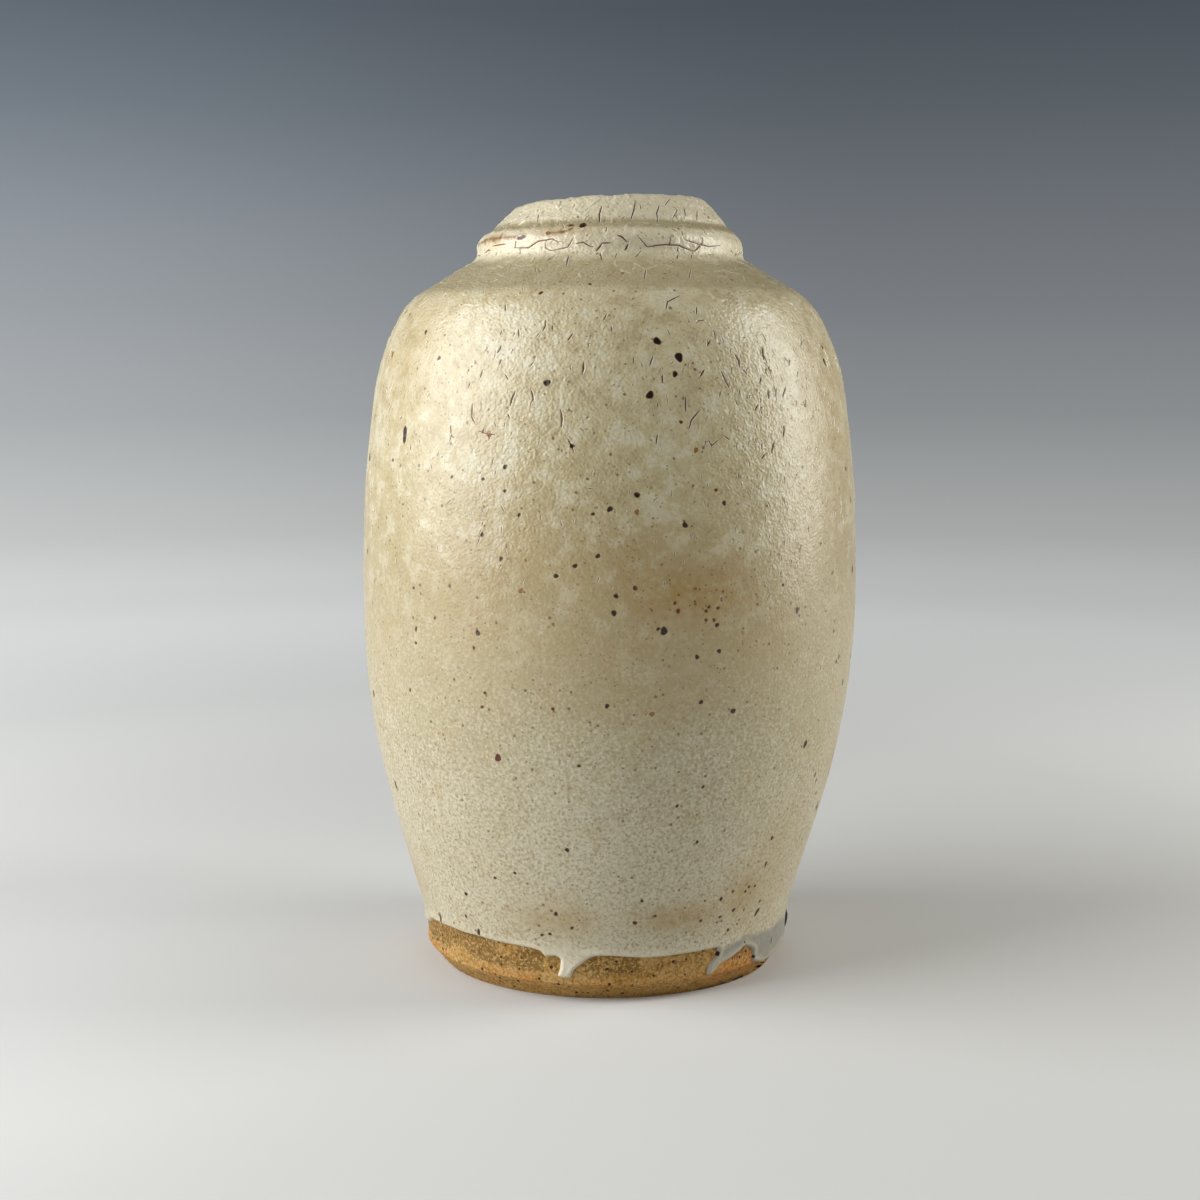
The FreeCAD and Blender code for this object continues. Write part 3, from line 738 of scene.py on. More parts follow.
def patch_field(skin, rows):
    """The strength of soft patches at each place."""
    total = np.zeros(len(skin.s))
    for (angle, s), half_width, half_height, strength in rows:
        offset = np.mod(skin.angle - angle + math.pi, math.tau) - math.pi
        across = offset * skin.radius / half_width
        up = (skin.s - s) / half_height
        total = np.maximum(total, strength * np.exp(-(across ** 2 + up ** 2)))
    return total


def run_field(skin):
    """How far each place lies in the blue run, from 0 to 1."""
    angles, places = zip(*(on_jar(column, row) for column, row in BLUE_TOP))
    angles = (angles[0] - 0.02,) + angles + (RUN_END - 0.2, RUN_END)
    places = (places[0] - 5 * MM,) + places + (places[-1], places[-1] - 8 * MM)
    top = np.interp(np.mod(skin.angle, math.tau), angles, places, left=0, right=0)
    return smoothstep(top + 0.9 * MM, top - 1.3 * MM, skin.s)


# Meshes
def lattice(row_count, columns, fine, split):
    """A ring of cells that closes both ways, with the marked cells split into smaller ones.

    Gives the used points as fine (row, column) numbers, and the faces. A cell next to a split one takes that
    one's points into its own outline, so that no gap is left.
    """
    rows = row_count * split
    width = columns * split
    used = np.zeros((rows, width), bool)
    used[::split, ::split] = True
    cells = np.argwhere(fine)
    steps = np.arange(split + 1)
    fine_rows = (cells[:, 0, None] * split + steps) % rows
    fine_columns = (cells[:, 1, None] * split + steps) % width
    used[fine_rows[:, :, None], fine_columns[:, None, :]] = True
    number = np.cumsum(used.ravel()).reshape(used.shape) - 1
    a, b = fine_rows[:, :-1, None], fine_rows[:, 1:, None]
    c, d = fine_columns[:, None, :-1], fine_columns[:, None, 1:]
    quads = np.stack([number[a, c], number[a, d], number[b, d], number[b, c]], axis=-1)
    faces = quads.reshape(-1, 4).tolist()
    for i, j in np.argwhere(~fine):
        top, left = i * split, j * split
        bottom, right = (top + split) % rows, (left + split) % width
        inner = range(1, split)
        ring = [(top, left)] + [(top, left + n) for n in inner]
        ring += [(top, right)] + [(top + n, right) for n in inner]
        ring += [(bottom, right)] + [(bottom, left + split - n) for n in inner]
        ring += [(bottom, left)] + [(top + split - n, left) for n in inner]
        faces.append([int(number[p]) for p in ring if used[p]])
    return np.argwhere(used), faces


def bands(rings, columns, first=0, closed=False):
    """The faces between neighbouring rings of points, whose numbers start from a first one."""
    faces = []
    for i in range(rings if closed else rings - 1):
        a, b = first + i * columns, first + (i + 1) % rings * columns
        faces += [[a + j, a + (j + 1) % columns, b + (j + 1) % columns, b + j] for j in range(columns)]
    return faces


def new_object(name, points, faces):
    mesh = bpy.data.meshes.new(name)
    mesh.from_pydata(points.tolist(), [], faces)
    mesh.update()
    mesh.shade_smooth()
    piece = bpy.data.objects.new(name, mesh)
    bpy.context.scene.collection.objects.link(piece)
    return piece


def give(piece, **fields):
    """Writes fields over a piece's points, for its material to read."""
    for name, values in fields.items():
        layer = piece.data.attributes.new(name, "FLOAT", "POINT")
        layer.data.foreach_set("value", np.asarray(values, np.float32))


cracks = all_cracks()
ridges = all_ridges()
spots = all_spots()
edge_line = rounded(glaze_edge(), 4)
# How near the glaze's edge cells are fine.
EDGE_FINE = 1.4 * MM


def fine_cells(cells):
    """The cells that hold a crack, a spot or the glaze's edge."""
    found = np.zeros(len(cells.s), bool)
    for _, points in cracks + ridges:
        numbers, offsets, line = cells.near(*zip(*points), CRACK_REACH + BODY_ROW)
        distance, _, _ = along_line(offsets, line)
        found[numbers[distance < CRACK_REACH]] = True
    for spot in spots:
        numbers, offsets, _ = cells.near([spot.angle], [spot.s], spot.reach() + BODY_ROW)
        found[numbers[np.linalg.norm(offsets, axis=1) < spot.reach() + 0.4 * MM]] = True
    distance = edge_field(cells, edge_line)
    return found | (np.abs(distance) < EDGE_FINE)


class Coat:
    """A closed sheet of glaze on the clay, up its outside and down its hidden inside, finer at its marks."""

    def __init__(self, name, low, high, row, columns, split):
        outside = np.linspace(low, high, round((high - low) / row) + 1)
        hidden = np.linspace(high, low, round((high - low) / HIDDEN_ROW) + 1)
        places = np.concatenate([outside, hidden])
        hides = np.concatenate([np.zeros(len(outside), bool), np.ones(len(hidden), bool)])
        angles = (np.arange(columns) + 0.5) / columns * math.tau
        middle_s = places + np.diff(np.append(places, places[0])) / 2
        grid_s, grid_angle = np.meshgrid(middle_s, angles, indexing="ij")
        cells = Skin(grid_angle.ravel(), grid_s.ravel())
        fine = fine_cells(cells).reshape(grid_s.shape)
        fine[len(outside) - 1:] = False
        used, faces = lattice(len(places), columns, fine, split)
        row_number = used[:, 0] / split
        self.s = np.interp(row_number, np.arange(len(places) + 1), np.append(places, places[0]))
        self.angle = used[:, 1] / split / columns * math.tau
        self.hidden = hides[np.minimum(used[:, 0] // split, len(places) - 1)]
        self.skin = Skin(self.angle, self.s)
        self.name = name
        self.faces = faces
        self.at_end = np.isin(used[:, 0], (0, (len(outside) - 1) * split))

    def build(self, lift):
        """The coat as an object, with hard edges where its outside ends, so that coats meet with no line."""
        sunk = np.where(self.s < path.at_height(EDGE_TOP), EDGE_SUNK, SUNK)
        points = path.place(self.angle, self.s, np.where(self.hidden, -sunk, lift))
        piece = new_object(self.name, points, self.faces)
        ends = np.empty(len(piece.data.edges) * 2, np.int32)
        piece.data.edges.foreach_get("vertices", ends)
        hard = piece.data.attributes.new("sharp_edge", "BOOLEAN", "EDGE")
        hard.data.foreach_set("value", self.at_end[ends.reshape(-1, 2)].all(axis=1))
        return piece


# Lumps of the glaze's surface: their depth in mm on the body, and what the upper body, the collar and the
# lip add to it, then their size in mm, and how many times wider than tall they are.
LUMPS = [
    (0.10, 0, 0, 0, 24, 1.6),
    (0.05, 0, 0, 0, 9, 1.4),
    (0.022, 0.03, 0, 0, 3.6, 1),
    (0, 0.03, 0.12, 0.12, 2.3, 1),
    (0, 0.015, 0.07, 0.05, 1.3, 1),
]


def lumps(coat):
    """The glaze's uneven surface: slow waves all over, and a bumpier skin towards the collar."""
    points = path.place(coat.angle, coat.s, COAT)
    height = path.height(coat.s)
    upper = smoothstep(110 * MM, 190 * MM, height)
    collar = smoothstep(212 * MM, 224 * MM, height)
    lip = smoothstep(231 * MM, 235 * MM, height)
    total = 0
    for seed, (body, on_upper, on_collar, on_lip, size, widened) in enumerate(LUMPS, 1):
        depth = body + on_upper * upper + on_collar * collar + on_lip * lip
        total += depth * MM * noise(points * (1, 1, widened), size * MM, seed)
    return total


# The crease between the flange and the cone, where the glaze is thinner.
GROOVE_HEIGHT = 228.5 * MM
GROOVE_DEPTH = 0.35 * MM
GROOVE_HALF = 1.0 * MM
# The bead under that crease: how far below it, and its height over the rest.
BEAD_BELOW = 2.2 * MM
BEAD_LIFT = 0.18 * MM
# How far marks rise from the coat or sink into it.
RIM_LIFT = 0.12 * MM
RIDGE_LIFT = 0.22 * MM
CRACK_DEPTH = 0.28 * MM
SPOT_DEPTH = 0.06 * MM
# How wide the raised edges of flakes and the rust lines are, and how far in the lower edge is paler.
RIDGE_HALF = 0.3 * MM
RUST_HALF = 0.45 * MM
EDGE_FADE = 3 * MM
# The swell along the lower edge: its height, how far it is from the edge, and its half width.
SWELL_LIFT = 0.22 * MM
SWELL_IN = 1.1 * MM
SWELL_HALF = 0.9 * MM


def coat_lift(coat, core, rim, raised, iron, edge):
    """How far the glaze's surface lies outside the clay."""
    lift = COAT + lumps(coat)
    lift += RIM_LIFT * rim + RIDGE_LIFT * raised
    lift -= CRACK_DEPTH * core
    lift -= SPOT_DEPTH * iron
    height = path.height(coat.s)
    outer = coat.s < path.s[path.crest]
    lift -= GROOVE_DEPTH * bell(height - GROOVE_HEIGHT, GROOVE_HALF) * outer
    lift += BEAD_LIFT * bell(height - GROOVE_HEIGHT + BEAD_BELOW, GROOVE_HALF) * outer
    # towards its lower edge the coat swells, then rounds off and dips into the clay
    swell = SWELL_LIFT * bell(edge - SWELL_IN, SWELL_HALF)
    share = 1 - np.exp(-np.maximum(edge, 0) / (0.35 * MM))
    below = -1.2 * MM * np.clip(-edge / (0.7 * MM), 0, 1)
    return np.where(edge > 0, lift * share + swell * share, below)


def glaze_coat(name, low, high, row, columns, split):
    coat = Coat(name, low, high, row, columns, split)
    core, side, half = crack_fields(coat.skin, cracks)
    rim = bell(np.abs(side) - half - 0.3, 0.3) * (half > 0)
    raised = line_field(coat.skin, ridges, RIDGE_HALF)
    iron, tone = spot_fields(coat.skin, spots)
    edge = edge_field(coat.skin, edge_line)
    piece = coat.build(coat_lift(coat, core, rim, raised, iron, edge))
    # pale carries a painted highlight on raised flake edges, and thick glaze with painted light over the
    # shade under the drip
    pale = np.maximum(0.65 * raised, patch_field(coat.skin, seen_patches(THICK_GLAZE_AND_PAINTED_LIGHT)))
    give(piece, crack_side=side, crack_half=half, pale=pale, iron=iron, iron_tone=tone,
         edge=np.clip(edge / EDGE_FADE, 0, 1), blue=run_field(coat.skin),
         stain=patch_field(coat.skin, seen_patches(STAINS) + scattered_patches()),
         rust=line_field(coat.skin, read_cracks(COLLAR_VIEW, RUST_LINES), RUST_HALF))
    return piece


# The coats start on the foot, and meet at the top of the upper bowl.
COAT_FOOT = path.at_height(4.9 * MM)
COAT_JOIN = path.at_height(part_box("upper_bowl")[1].z)
body_coat = glaze_coat("body_coat", COAT_FOOT, COAT_JOIN, BODY_ROW, BODY_COLUMNS, BODY_SPLIT)
collar_coat = glaze_coat("collar_coat", COAT_JOIN, path.s[-1], COLLAR_ROW, COLLAR_COLUMNS, COLLAR_SPLIT)
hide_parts("body_glaze", "front_glaze_drip", "side_glaze_run")
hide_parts("collar_glaze")


# The clay of the lower bowl, with its bare foot. The toasted clay under the run starts at this pixel.
NOTCH_LEFT = (714, 972)
# The clay is gritty below this height and outside this radius, and out of true below the second height.
BARE_TOP = 17 * MM
BARE_INNER = 40 * MM
OUTER_TOP = 95 * MM
FOOT_COLUMNS = 720


def foot_profile():
    """Places along the lower bowl's outline, close set on the foot, with their radii and heights."""
    loop = outline("lower_bowl")
    loop = np.roll(loop, -corner(loop, 1, -2), axis=0)
    closed = np.vstack([loop, loop[:1]])
    lengths = np.linalg.norm(np.diff(closed, axis=0), axis=1)
    along = np.append(0, np.cumsum(lengths))
    fine_end = path.at_height(BARE_TOP)
    under = along[-1] - 12 * MM
    places = np.unique(np.concatenate([
        np.arange(0, fine_end, 0.45 * MM),
        np.arange(fine_end, under, 6 * MM),
        np.arange(under, along[-1], 0.6 * MM),
        along[:-1][lengths > 3 * MM],
    ]))
    r, z = (np.interp(places, along, values) for values in closed.T)
    return places, np.where(r < 1 * MM, 0, r), z


def grit(points, z):
    """How far the bare clay's grit, turning lines and pits lift its surface."""
    lift = 0.07 * MM * noise(points, 1.1 * MM, 21) + 0.07 * MM * noise(points, 2.6 * MM, 22)
    lift += 0.12 * MM * noise(points * (1, 1, 2.0), 9 * MM, 23)
    lift += 0.02 * MM * np.sin(z / (0.55 * MM) + 2 * noise(points, 14 * MM, 24))
    lift -= 0.25 * MM * smoothstep(0.58, 0.78, noise(points, 1.6 * MM, 25))
    return lift * smoothstep(-0.1 * MM, 0.9 * MM, z)


def clay_foot():
    """The lower bowl turned from its node's own outline, gritty and out of true on its foot."""
    places, profile_r, profile_z = foot_profile()
    dr, dz = np.gradient(profile_r), np.gradient(profile_z)
    length = np.maximum(np.hypot(dr, dz), TINY)
    columns = (places, profile_r, profile_z, dz / length, -dr / length)
    s, r, z, out_r, out_z = (np.repeat(values, FOOT_COLUMNS) for values in columns)
    angle = np.tile(np.arange(FOOT_COLUMNS) / FOOT_COLUMNS * math.tau, len(places))
    points = np.column_stack([r * np.sin(angle), -r * np.cos(angle), z])
    lift = np.where((z < BARE_TOP) & (r > BARE_INNER), grit(points, z), 0)
    points += lift[:, None] * np.column_stack([out_r * np.sin(angle), -out_r * np.cos(angle), out_z])
    outer = (r > BARE_INNER) & (s < path.at_height(OUTER_TOP))
    points = np.where(outer[:, None], out_of_true(points), points)
    points[:, 2] = np.maximum(points[:, 2], 0)
    # rows on the axis become one point each, and the faces beside them triangles
    number = np.arange(len(points))
    number = np.where(r == 0, number - number % FOOT_COLUMNS, number)
    keep = number == np.arange(len(points))
    number = (np.cumsum(keep) - 1)[number]
    rings = number[np.array(bands(len(places), FOOT_COLUMNS, closed=True))].tolist()
    faces = [list(dict.fromkeys(ring)) for ring in rings]
    piece = new_object("foot_clay", points[keep], [ring for ring in faces if len(ring) > 2])
    start = on_jar(*NOTCH_LEFT)[0]
    turned = np.mod(angle, math.tau)
    notch = smoothstep(start - 0.05, start + 0.05, turned)
    notch = notch * smoothstep(RUN_END + 0.1, RUN_END - 0.1, turned)
    give(piece, notch=(notch * smoothstep(1.5 * MM, 4 * MM, points[:, 2]))[keep])
    return piece


foot_clay = clay_foot()
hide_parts("lower_bowl")


def tipped_collar():
    """The collar's clay, tipped as the glaze on it is."""
    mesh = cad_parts["collar"].data.copy()
    points = np.array([v.co for v in mesh.vertices])
    mesh.vertices.foreach_set("co", out_of_true(points).ravel())
    piece = bpy.data.objects.new("collar_clay", mesh)
    bpy.context.scene.collection.objects.link(piece)
    return piece


collar_clay = tipped_collar()
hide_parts("collar")


# The slag on the run, with its half sizes outward, round the jar and upward
SLAG_HALF = (0.95 * MM, 1.5 * MM, 3.2 * MM)
SLAG_RINGS = 40
SLAG_COLUMNS = 40


def slag():
    """A thin rough lump, longer than it is wide, half sunk into the run and bent as the jar's wall is."""
    low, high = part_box("kiln_slag_bead")
    middle = (low + high) / 2
    points = [(0, 0, -1)]
    for i in range(1, SLAG_RINGS):
        tilt = math.pi * i / SLAG_RINGS - math.pi / 2
        for j in range(SLAG_COLUMNS):
            turn = math.tau * j / SLAG_COLUMNS
            points.append((math.cos(tilt) * math.cos(turn), math.cos(tilt) * math.sin(turn), math.sin(tilt)))
    points.append((0, 0, 1))
    points = np.array(points)
    swell = 1 + 0.25 * noise(points * 5 * MM, 4 * MM, 31) + 0.14 * noise(points * 5 * MM, 1.5 * MM, 32)
    out, around, up = (points * swell[:, None] * np.array(SLAG_HALF)).T
    angle = math.atan2(middle.x, -middle.y) + around / middle.x
    points = path.place(angle, path.at_height(middle.z + 0.8 * MM) + up, COAT + out)
    faces = bands(SLAG_RINGS - 1, SLAG_COLUMNS, 1)
    last = 1 + (SLAG_RINGS - 2) * SLAG_COLUMNS
    for j in range(SLAG_COLUMNS):
        following = (j + 1) % SLAG_COLUMNS
        faces += [[0, 1 + following, 1 + j], [last + j, last + following, len(points) - 1]]
    return new_object("slag_lump", points, faces)


slag_lump = slag()
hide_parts("kiln_slag_bead")


# Materials
class Material:
    """A Principled material, with short ways to add the nodes that feed it."""

    def __init__(self, name, roughness, specular=0.5, coat=0.0, coat_roughness=0.2):
        self.material = bpy.data.materials.new(name)
        self.material.use_nodes = True
        self.tree = self.material.node_tree
        self.sockets = self.tree.nodes["Principled BSDF"].inputs
        self.set("Roughness", roughness)
        self.set("Specular IOR Level", specular)
        self.set("Coat Weight", coat)
        self.set("Coat Roughness", coat_roughness)
        self.place = self.add("ShaderNodeTexCoord")["Object"]
        self.base = None
        self.normal = None

    def feed(self, socket, value):
        if isinstance(value, bpy.types.NodeSocket):
            self.tree.links.new(value, socket)
        else:
            socket.default_value = value

    def set(self, name, value):
        """Feeds one of the shader's own sockets."""
        self.feed(self.sockets[name], value)

    def add(self, kind, inputs=(), **settings):
        """Adds a node, feeds its inputs, given as (name or number, value) pairs, and gives its outputs."""
        node = self.tree.nodes.new(kind)
        for name, value in settings.items():
            setattr(node, name, value)
        for name, value in inputs:
            self.feed(node.inputs[name], value)
        return node.outputs

    def field(self, name):
        return self.add("ShaderNodeAttribute", attribute_name=name)["Fac"]

    def noise(self, size_mm, detail=2.0, rough=0.5, place=None):
        place = place or self.place
        inputs = (("Vector", place), ("Scale", 1 / (size_mm * MM)), ("Detail", detail), ("Roughness", rough))
        return self.add("ShaderNodeTexNoise", inputs)["Fac"]

    def stretched(self, x, y, z):
        return self.vector("MULTIPLY", self.place, (x, y, z))["Vector"]

    def vector(self, operation, *values):
        return self.add("ShaderNodeVectorMath", enumerate(values), operation=operation)

    def axis(self, name):
        return self.add("ShaderNodeSeparateXYZ", [("Vector", self.place)])[name]

    def step(self, value, low, high):
        """0 below low, 1 above high, smooth between; the other way round if low is above high."""
        flipped = low > high
        inputs = [
            ("Value", value),
            ("From Min", min(low, high)),
            ("From Max", max(low, high)),
            ("To Min", 1.0 if flipped else 0.0),
            ("To Max", 0.0 if flipped else 1.0),
        ]
        return self.add("ShaderNodeMapRange", inputs, interpolation_type="SMOOTHSTEP")["Result"]

    def math(self, operation, a, b):
        return self.add("ShaderNodeMath", ((0, a), (1, b)), operation=operation)["Value"]

    def plus(self, a, b):
        return self.math("ADD", a, b)

    def minus(self, a, b):
        return self.math("SUBTRACT", a, b)

    def times(self, *values):
        total = values[0]
        for value in values[1:]:
            total = self.math("MULTIPLY", total, value)
        return total

    def mix(self, share, a, b):
        inputs = (("Factor", share), ("A", a), ("B", b))
        return self.add("ShaderNodeMix", inputs, data_type="RGBA", clamp_factor=True)["Result"]

    def ramp(self, value, stops):
        """Colours that change evenly between some values, given as (value, colour) from the lowest up."""
        node = self.tree.nodes.new("ShaderNodeValToRGB")
        top = stops[-1][0]
        self.feed(node.inputs["Fac"], self.math("DIVIDE", value, top))
        elements = node.color_ramp.elements
        for n, (place, colour) in enumerate(stops):
            element = elements[n] if n < 2 else elements.new(place / top)
            element.position = place / top
            element.color = colour
        return node.outputs["Color"]

    def specks(self, size_mm, radius, keep):
        """Round specks, up to a share of a cell in radius, in some share of the cells."""
        inputs = (("Vector", self.place), ("Scale", 1 / (size_mm * MM)))
        cell = self.add("ShaderNodeTexVoronoi", inputs, feature="F1")
        chance = self.add("ShaderNodeSeparateColor", [("Color", cell["Color"])])
        inside = self.minus(self.times(chance["Green"], radius), cell["Distance"])
        return self.times(self.step(inside, -0.02, 0.03), self.step(chance["Red"], 1 - keep, 1 - keep + 0.01))

    def colour(self, value):
        self.base = value
        self.set("Base Color", value)

    def paint(self, colour, *shares):
        """Lays a colour over the base colour, as strongly as the product of the shares says."""
        self.colour(self.mix(self.times(*shares), self.base, colour))

    def bump(self, height, depth_mm):
        """Adds a relief to those that the surface has so far."""
        inputs = [("Strength", 1.0), ("Distance", depth_mm * MM), ("Height", height)]
        if self.normal:
            inputs.append(("Normal", self.normal))
        self.normal = self.add("ShaderNodeBump", inputs)["Normal"]
        self.set("Normal", self.normal)


WARM = srgb(170, 152, 109)
OLIVE = srgb(152, 138, 98)
SUGAR = srgb(204, 196, 171)
CLOUD = srgb(208, 202, 178)
THIN = srgb(160, 143, 104)
THICK_CREAM_AND_HIGHLIGHT = srgb(222, 214, 190)
SHADE = srgb(150, 131, 97)
STAIN = srgb(164, 138, 82)
RUST = srgb(150, 112, 42)
BROWN = srgb(122, 80, 28)
SPECK = srgb(96, 68, 34)
CRACK = srgb(112, 56, 0)
STAIN_SPECK = srgb(98, 58, 14)
BLACK_IRON = srgb(24, 9, 1)
RED_IRON = srgb(82, 30, 2)
IRON_RIM = srgb(118, 76, 28)
ORANGE_IRON = srgb(140, 92, 30)
BLUE = srgb(133, 131, 120)
COLLAR_CREAM = srgb(213, 203, 174)
# Heights in metres between which the glaze changes, from where a change starts to where it is done.
LOWER_BODY = (0.130, 0.055)
CLOUDY_BODY = (0.09, 0.16)
PEBBLED_BODY = (0.100, 0.170)
SHOULDER_END = (0.2072, 0.2102)
COLLAR_START = (0.2165, 0.2205)
GROOVE_START = (0.2262, 0.2278)
GROOVE_END = (0.2305, 0.2288)
# The glaze's colour by height.
GLAZE_STOPS = (
    (0.0, srgb(188, 179, 152)), (0.050, srgb(185, 176, 149)), (0.085, srgb(172, 161, 128)),
    (0.125, srgb(166, 150, 110)), (0.155, srgb(181, 167, 127)), (0.190, srgb(195, 182, 145)),
    (0.240, srgb(195, 182, 145)),
)


def glaze_material():
    m = Material("cream_glaze", roughness=0.36, specular=0.5, coat=0.25, coat_roughness=0.28)
    height = m.axis("Z")
    slow = m.noise(26, detail=3, rough=0.55)
    patchy = m.noise(9, detail=3, rough=0.6)
    uneven = m.minus(slow, 0.5)
    lower = m.step(m.plus(height, m.times(uneven, 0.12)), *LOWER_BODY)
    collar = m.step(m.plus(height, m.times(m.minus(patchy, 0.5), 0.006)), *COLLAR_START)
    groove_pool_and_shade = m.times(m.step(height, *GROOVE_START), m.step(height, *GROOVE_END))
    shoulder = m.step(m.plus(height, m.times(uneven, 0.004)), *SHOULDER_END)
    m.colour(m.ramp(m.plus(height, m.times(uneven, 0.06)), GLAZE_STOPS))
    m.paint(WARM, m.step(patchy, 0.5, 0.72), 0.5)
    # whiter clouds where the glaze is thick and browner ones where it is thin, plainest on the upper body
    cloud = m.noise(6, detail=4, rough=0.65)
    cloudy = m.plus(m.times(m.step(height, *CLOUDY_BODY), 0.4), 0.12)
    m.paint(CLOUD, m.step(cloud, 0.50, 0.62), cloudy)
    m.paint(THIN, m.step(cloud, 0.48, 0.36), cloudy)
    m.paint(OLIVE, shoulder, m.minus(1.0, collar), 0.65)
    m.paint(COLLAR_CREAM, collar, 0.85)
    # painted shade in the groove between the flange and the cone, over the olive of the glaze pooled there
    m.paint(OLIVE, groove_pool_and_shade, 0.85)
    # sugary grains, plainest on the lower body
    grain = m.noise(0.95, detail=3, rough=0.65)
    m.paint(SUGAR, m.step(grain, 0.5, 0.66), m.plus(m.times(lower, 0.55), 0.25))
    m.paint(SHADE, m.step(grain, 0.5, 0.35), m.plus(m.times(lower, 0.5), 0.25))
    # stains and specks of iron
    stain = m.field("stain")
    mottle = m.noise(1.9, detail=4, rough=0.75)
    m.paint(STAIN, stain, 0.62)
    m.paint(RUST, stain, m.step(mottle, 0.42, 0.58), 0.6)
    m.paint(SPECK, m.specks(1.3, 0.3, 0.55), 0.5)
    m.paint(SPECK, m.specks(2.6, 0.2, 0.7), 0.75)
    m.paint(STAIN_SPECK, m.specks(1.5, 0.34, 0.6), m.step(stain, 0.35, 0.8), 0.8)
    m.paint(BLUE, m.field("blue"), m.plus(m.times(mottle, 0.9), 0.45))
    m.paint(BROWN, m.field("rust"), m.step(mottle, 0.25, 0.5))
    # the thick lower edge is paler
    m.paint(SUGAR, m.step(m.field("edge"), 0.9, 0.3), 0.4)
    # raised flakes, thick drips and the rims of cracks are paler: a painted highlight on raised edges, and on
    # the drips thick glaze with painted light over the shade under them; cracks are dark
    m.paint(THICK_CREAM_AND_HIGHLIGHT, m.field("pale"), 0.75)
    half = m.field("crack_half")
    gap = m.minus(half, m.math("ABSOLUTE", m.field("crack_side"), 0.0))
    near_crack = m.step(half, 0.02, 0.07)
    # the rims of cracks: a painted highlight on their raised edges, over glaze that is thinner there
    m.paint(THICK_CREAM_AND_HIGHLIGHT, m.step(gap, -0.38, -0.12), near_crack, 0.55)
    crack = m.times(m.step(gap, -0.07, 0.05), near_crack)
    m.paint(CRACK, crack, 0.92)
    # an iron spot is darkest in its middle
    iron = m.field("iron")
    tone = m.field("iron_tone")
    iron_colour = m.mix(m.step(tone, 0.0, 0.5), BLACK_IRON, RED_IRON)
    iron_colour = m.mix(m.step(tone, 0.5, 1.0), iron_colour, ORANGE_IRON)
    iron_colour = m.mix(m.step(iron, 0.35, 0.75), IRON_RIM, iron_colour)
    m.paint(iron_colour, m.step(iron, 0.1, 0.4))
    rough = m.plus(m.plus(m.times(grain, 0.2), 0.26), m.times(lower, 0.2))
    m.set("Roughness", m.plus(rough, m.times(crack, 0.4)))
    # a pebbled skin, roughest towards the shoulder
    strength = m.plus(m.times(m.step(height, *PEBBLED_BODY), 0.6), 0.4)
    m.bump(m.times(m.noise(0.8, detail=0.5), strength), 0.2)
    m.bump(m.times(m.noise(1.7, detail=1), strength), 0.24)
    m.bump(m.minus(1.0, crack), 0.1)
    return m.material


CLAY_TAN = srgb(184, 146, 86)
CLAY_OLIVE = srgb(160, 119, 54)
CLAY_ORANGE = srgb(180, 120, 54)
CLAY_DARK = srgb(98, 71, 26)
CLAY_PALE = srgb(198, 167, 112)
GRIT = srgb(58, 42, 26)
# Heights for the bare foot: of its bevel, the toasted band above that, and the dark clay under the glaze.
BEVEL_TOP = (0.0052, 0.0036)
TOAST_START = (0.0038, 0.0056)
TOAST_END = (0.0086, 0.0062)
DARK_START = (0.0075, 0.0100)


def foot_material():
    m = Material("bare_clay", roughness=0.8, specular=0.3)
    height = m.axis("Z")
    slow = m.noise(12, detail=4, rough=0.6)
    fine = m.noise(0.9, detail=4, rough=0.75)
    band = m.noise(3.5, detail=4, rough=0.7, place=m.stretched(0.6, 0.6, 1.4))
    m.colour(m.mix(m.step(band, 0.4, 0.65), CLAY_TAN, CLAY_OLIVE))
    m.paint(CLAY_OLIVE, m.step(height, *BEVEL_TOP), 0.6)
    toast = m.times(m.step(height, *TOAST_START), m.step(height, *TOAST_END))
    m.paint(CLAY_ORANGE, toast, m.step(slow, 0.42, 0.62), 0.75)
    m.paint(CLAY_ORANGE, m.field("notch"), m.step(fine, 0.3, 0.5), 0.9)
    m.paint(CLAY_DARK, m.step(height, *DARK_START), m.step(slow, 0.40, 0.50), m.step(fine, 0.36, 0.5), 0.7)
    m.paint(CLAY_DARK, m.step(fine, 0.5, 0.62), 0.65)
    m.paint(CLAY_PALE, m.step(fine, 0.48, 0.38), 0.5)
    m.paint(GRIT, m.specks(1.9, 0.32, 0.55))
    m.paint(GRIT, m.specks(4.2, 0.17, 0.5))
    m.paint(CLAY_PALE, m.specks(1.5, 0.24, 0.5), 0.8)
    m.bump(fine, 0.14)
    m.bump(m.noise(0.5, detail=2), 0.05)
    return m.material


def clay_material(name, light, dark, roughness):
    """Plain fired clay or slip, for the parts that the glaze covers."""
    m = Material(name, roughness=roughness, specular=0.3)
    fine = m.noise(1.4, detail=4, rough=0.6)
    m.colour(m.mix(m.step(fine, 0.35, 0.7), light, dark))
    m.bump(fine, 0.08)
    return m.material


def liner_material():
    """The glaze inside, with throwing rings under it."""
    m = Material("liner_glaze", roughness=0.35, coat=0.3, coat_roughness=0.2)
    rings = m.noise(4.0, detail=2, place=m.stretched(0.05, 0.05, 1.0))
    grain = m.noise(1.3, detail=3)
    m.colour(m.mix(m.step(grain, 0.4, 0.65), srgb(190, 176, 138), srgb(206, 196, 162)))
    m.paint(SPECK, m.specks(2.4, 0.2, 0.4))
    m.bump(rings, 0.5)
    m.bump(grain, 0.06)
    return m.material


def slag_material():
    m = Material("slag", roughness=0.3, specular=0.5, coat=0.4, coat_roughness=0.1)
    fine = m.noise(0.8, detail=4)
    m.colour(m.mix(m.step(fine, 0.4, 0.7), srgb(28, 22, 20), srgb(70, 54, 44)))
    m.bump(fine, 0.15)
    return m.material


def dress(piece, material):
    piece.data.materials.clear()
    piece.data.materials.append(material)


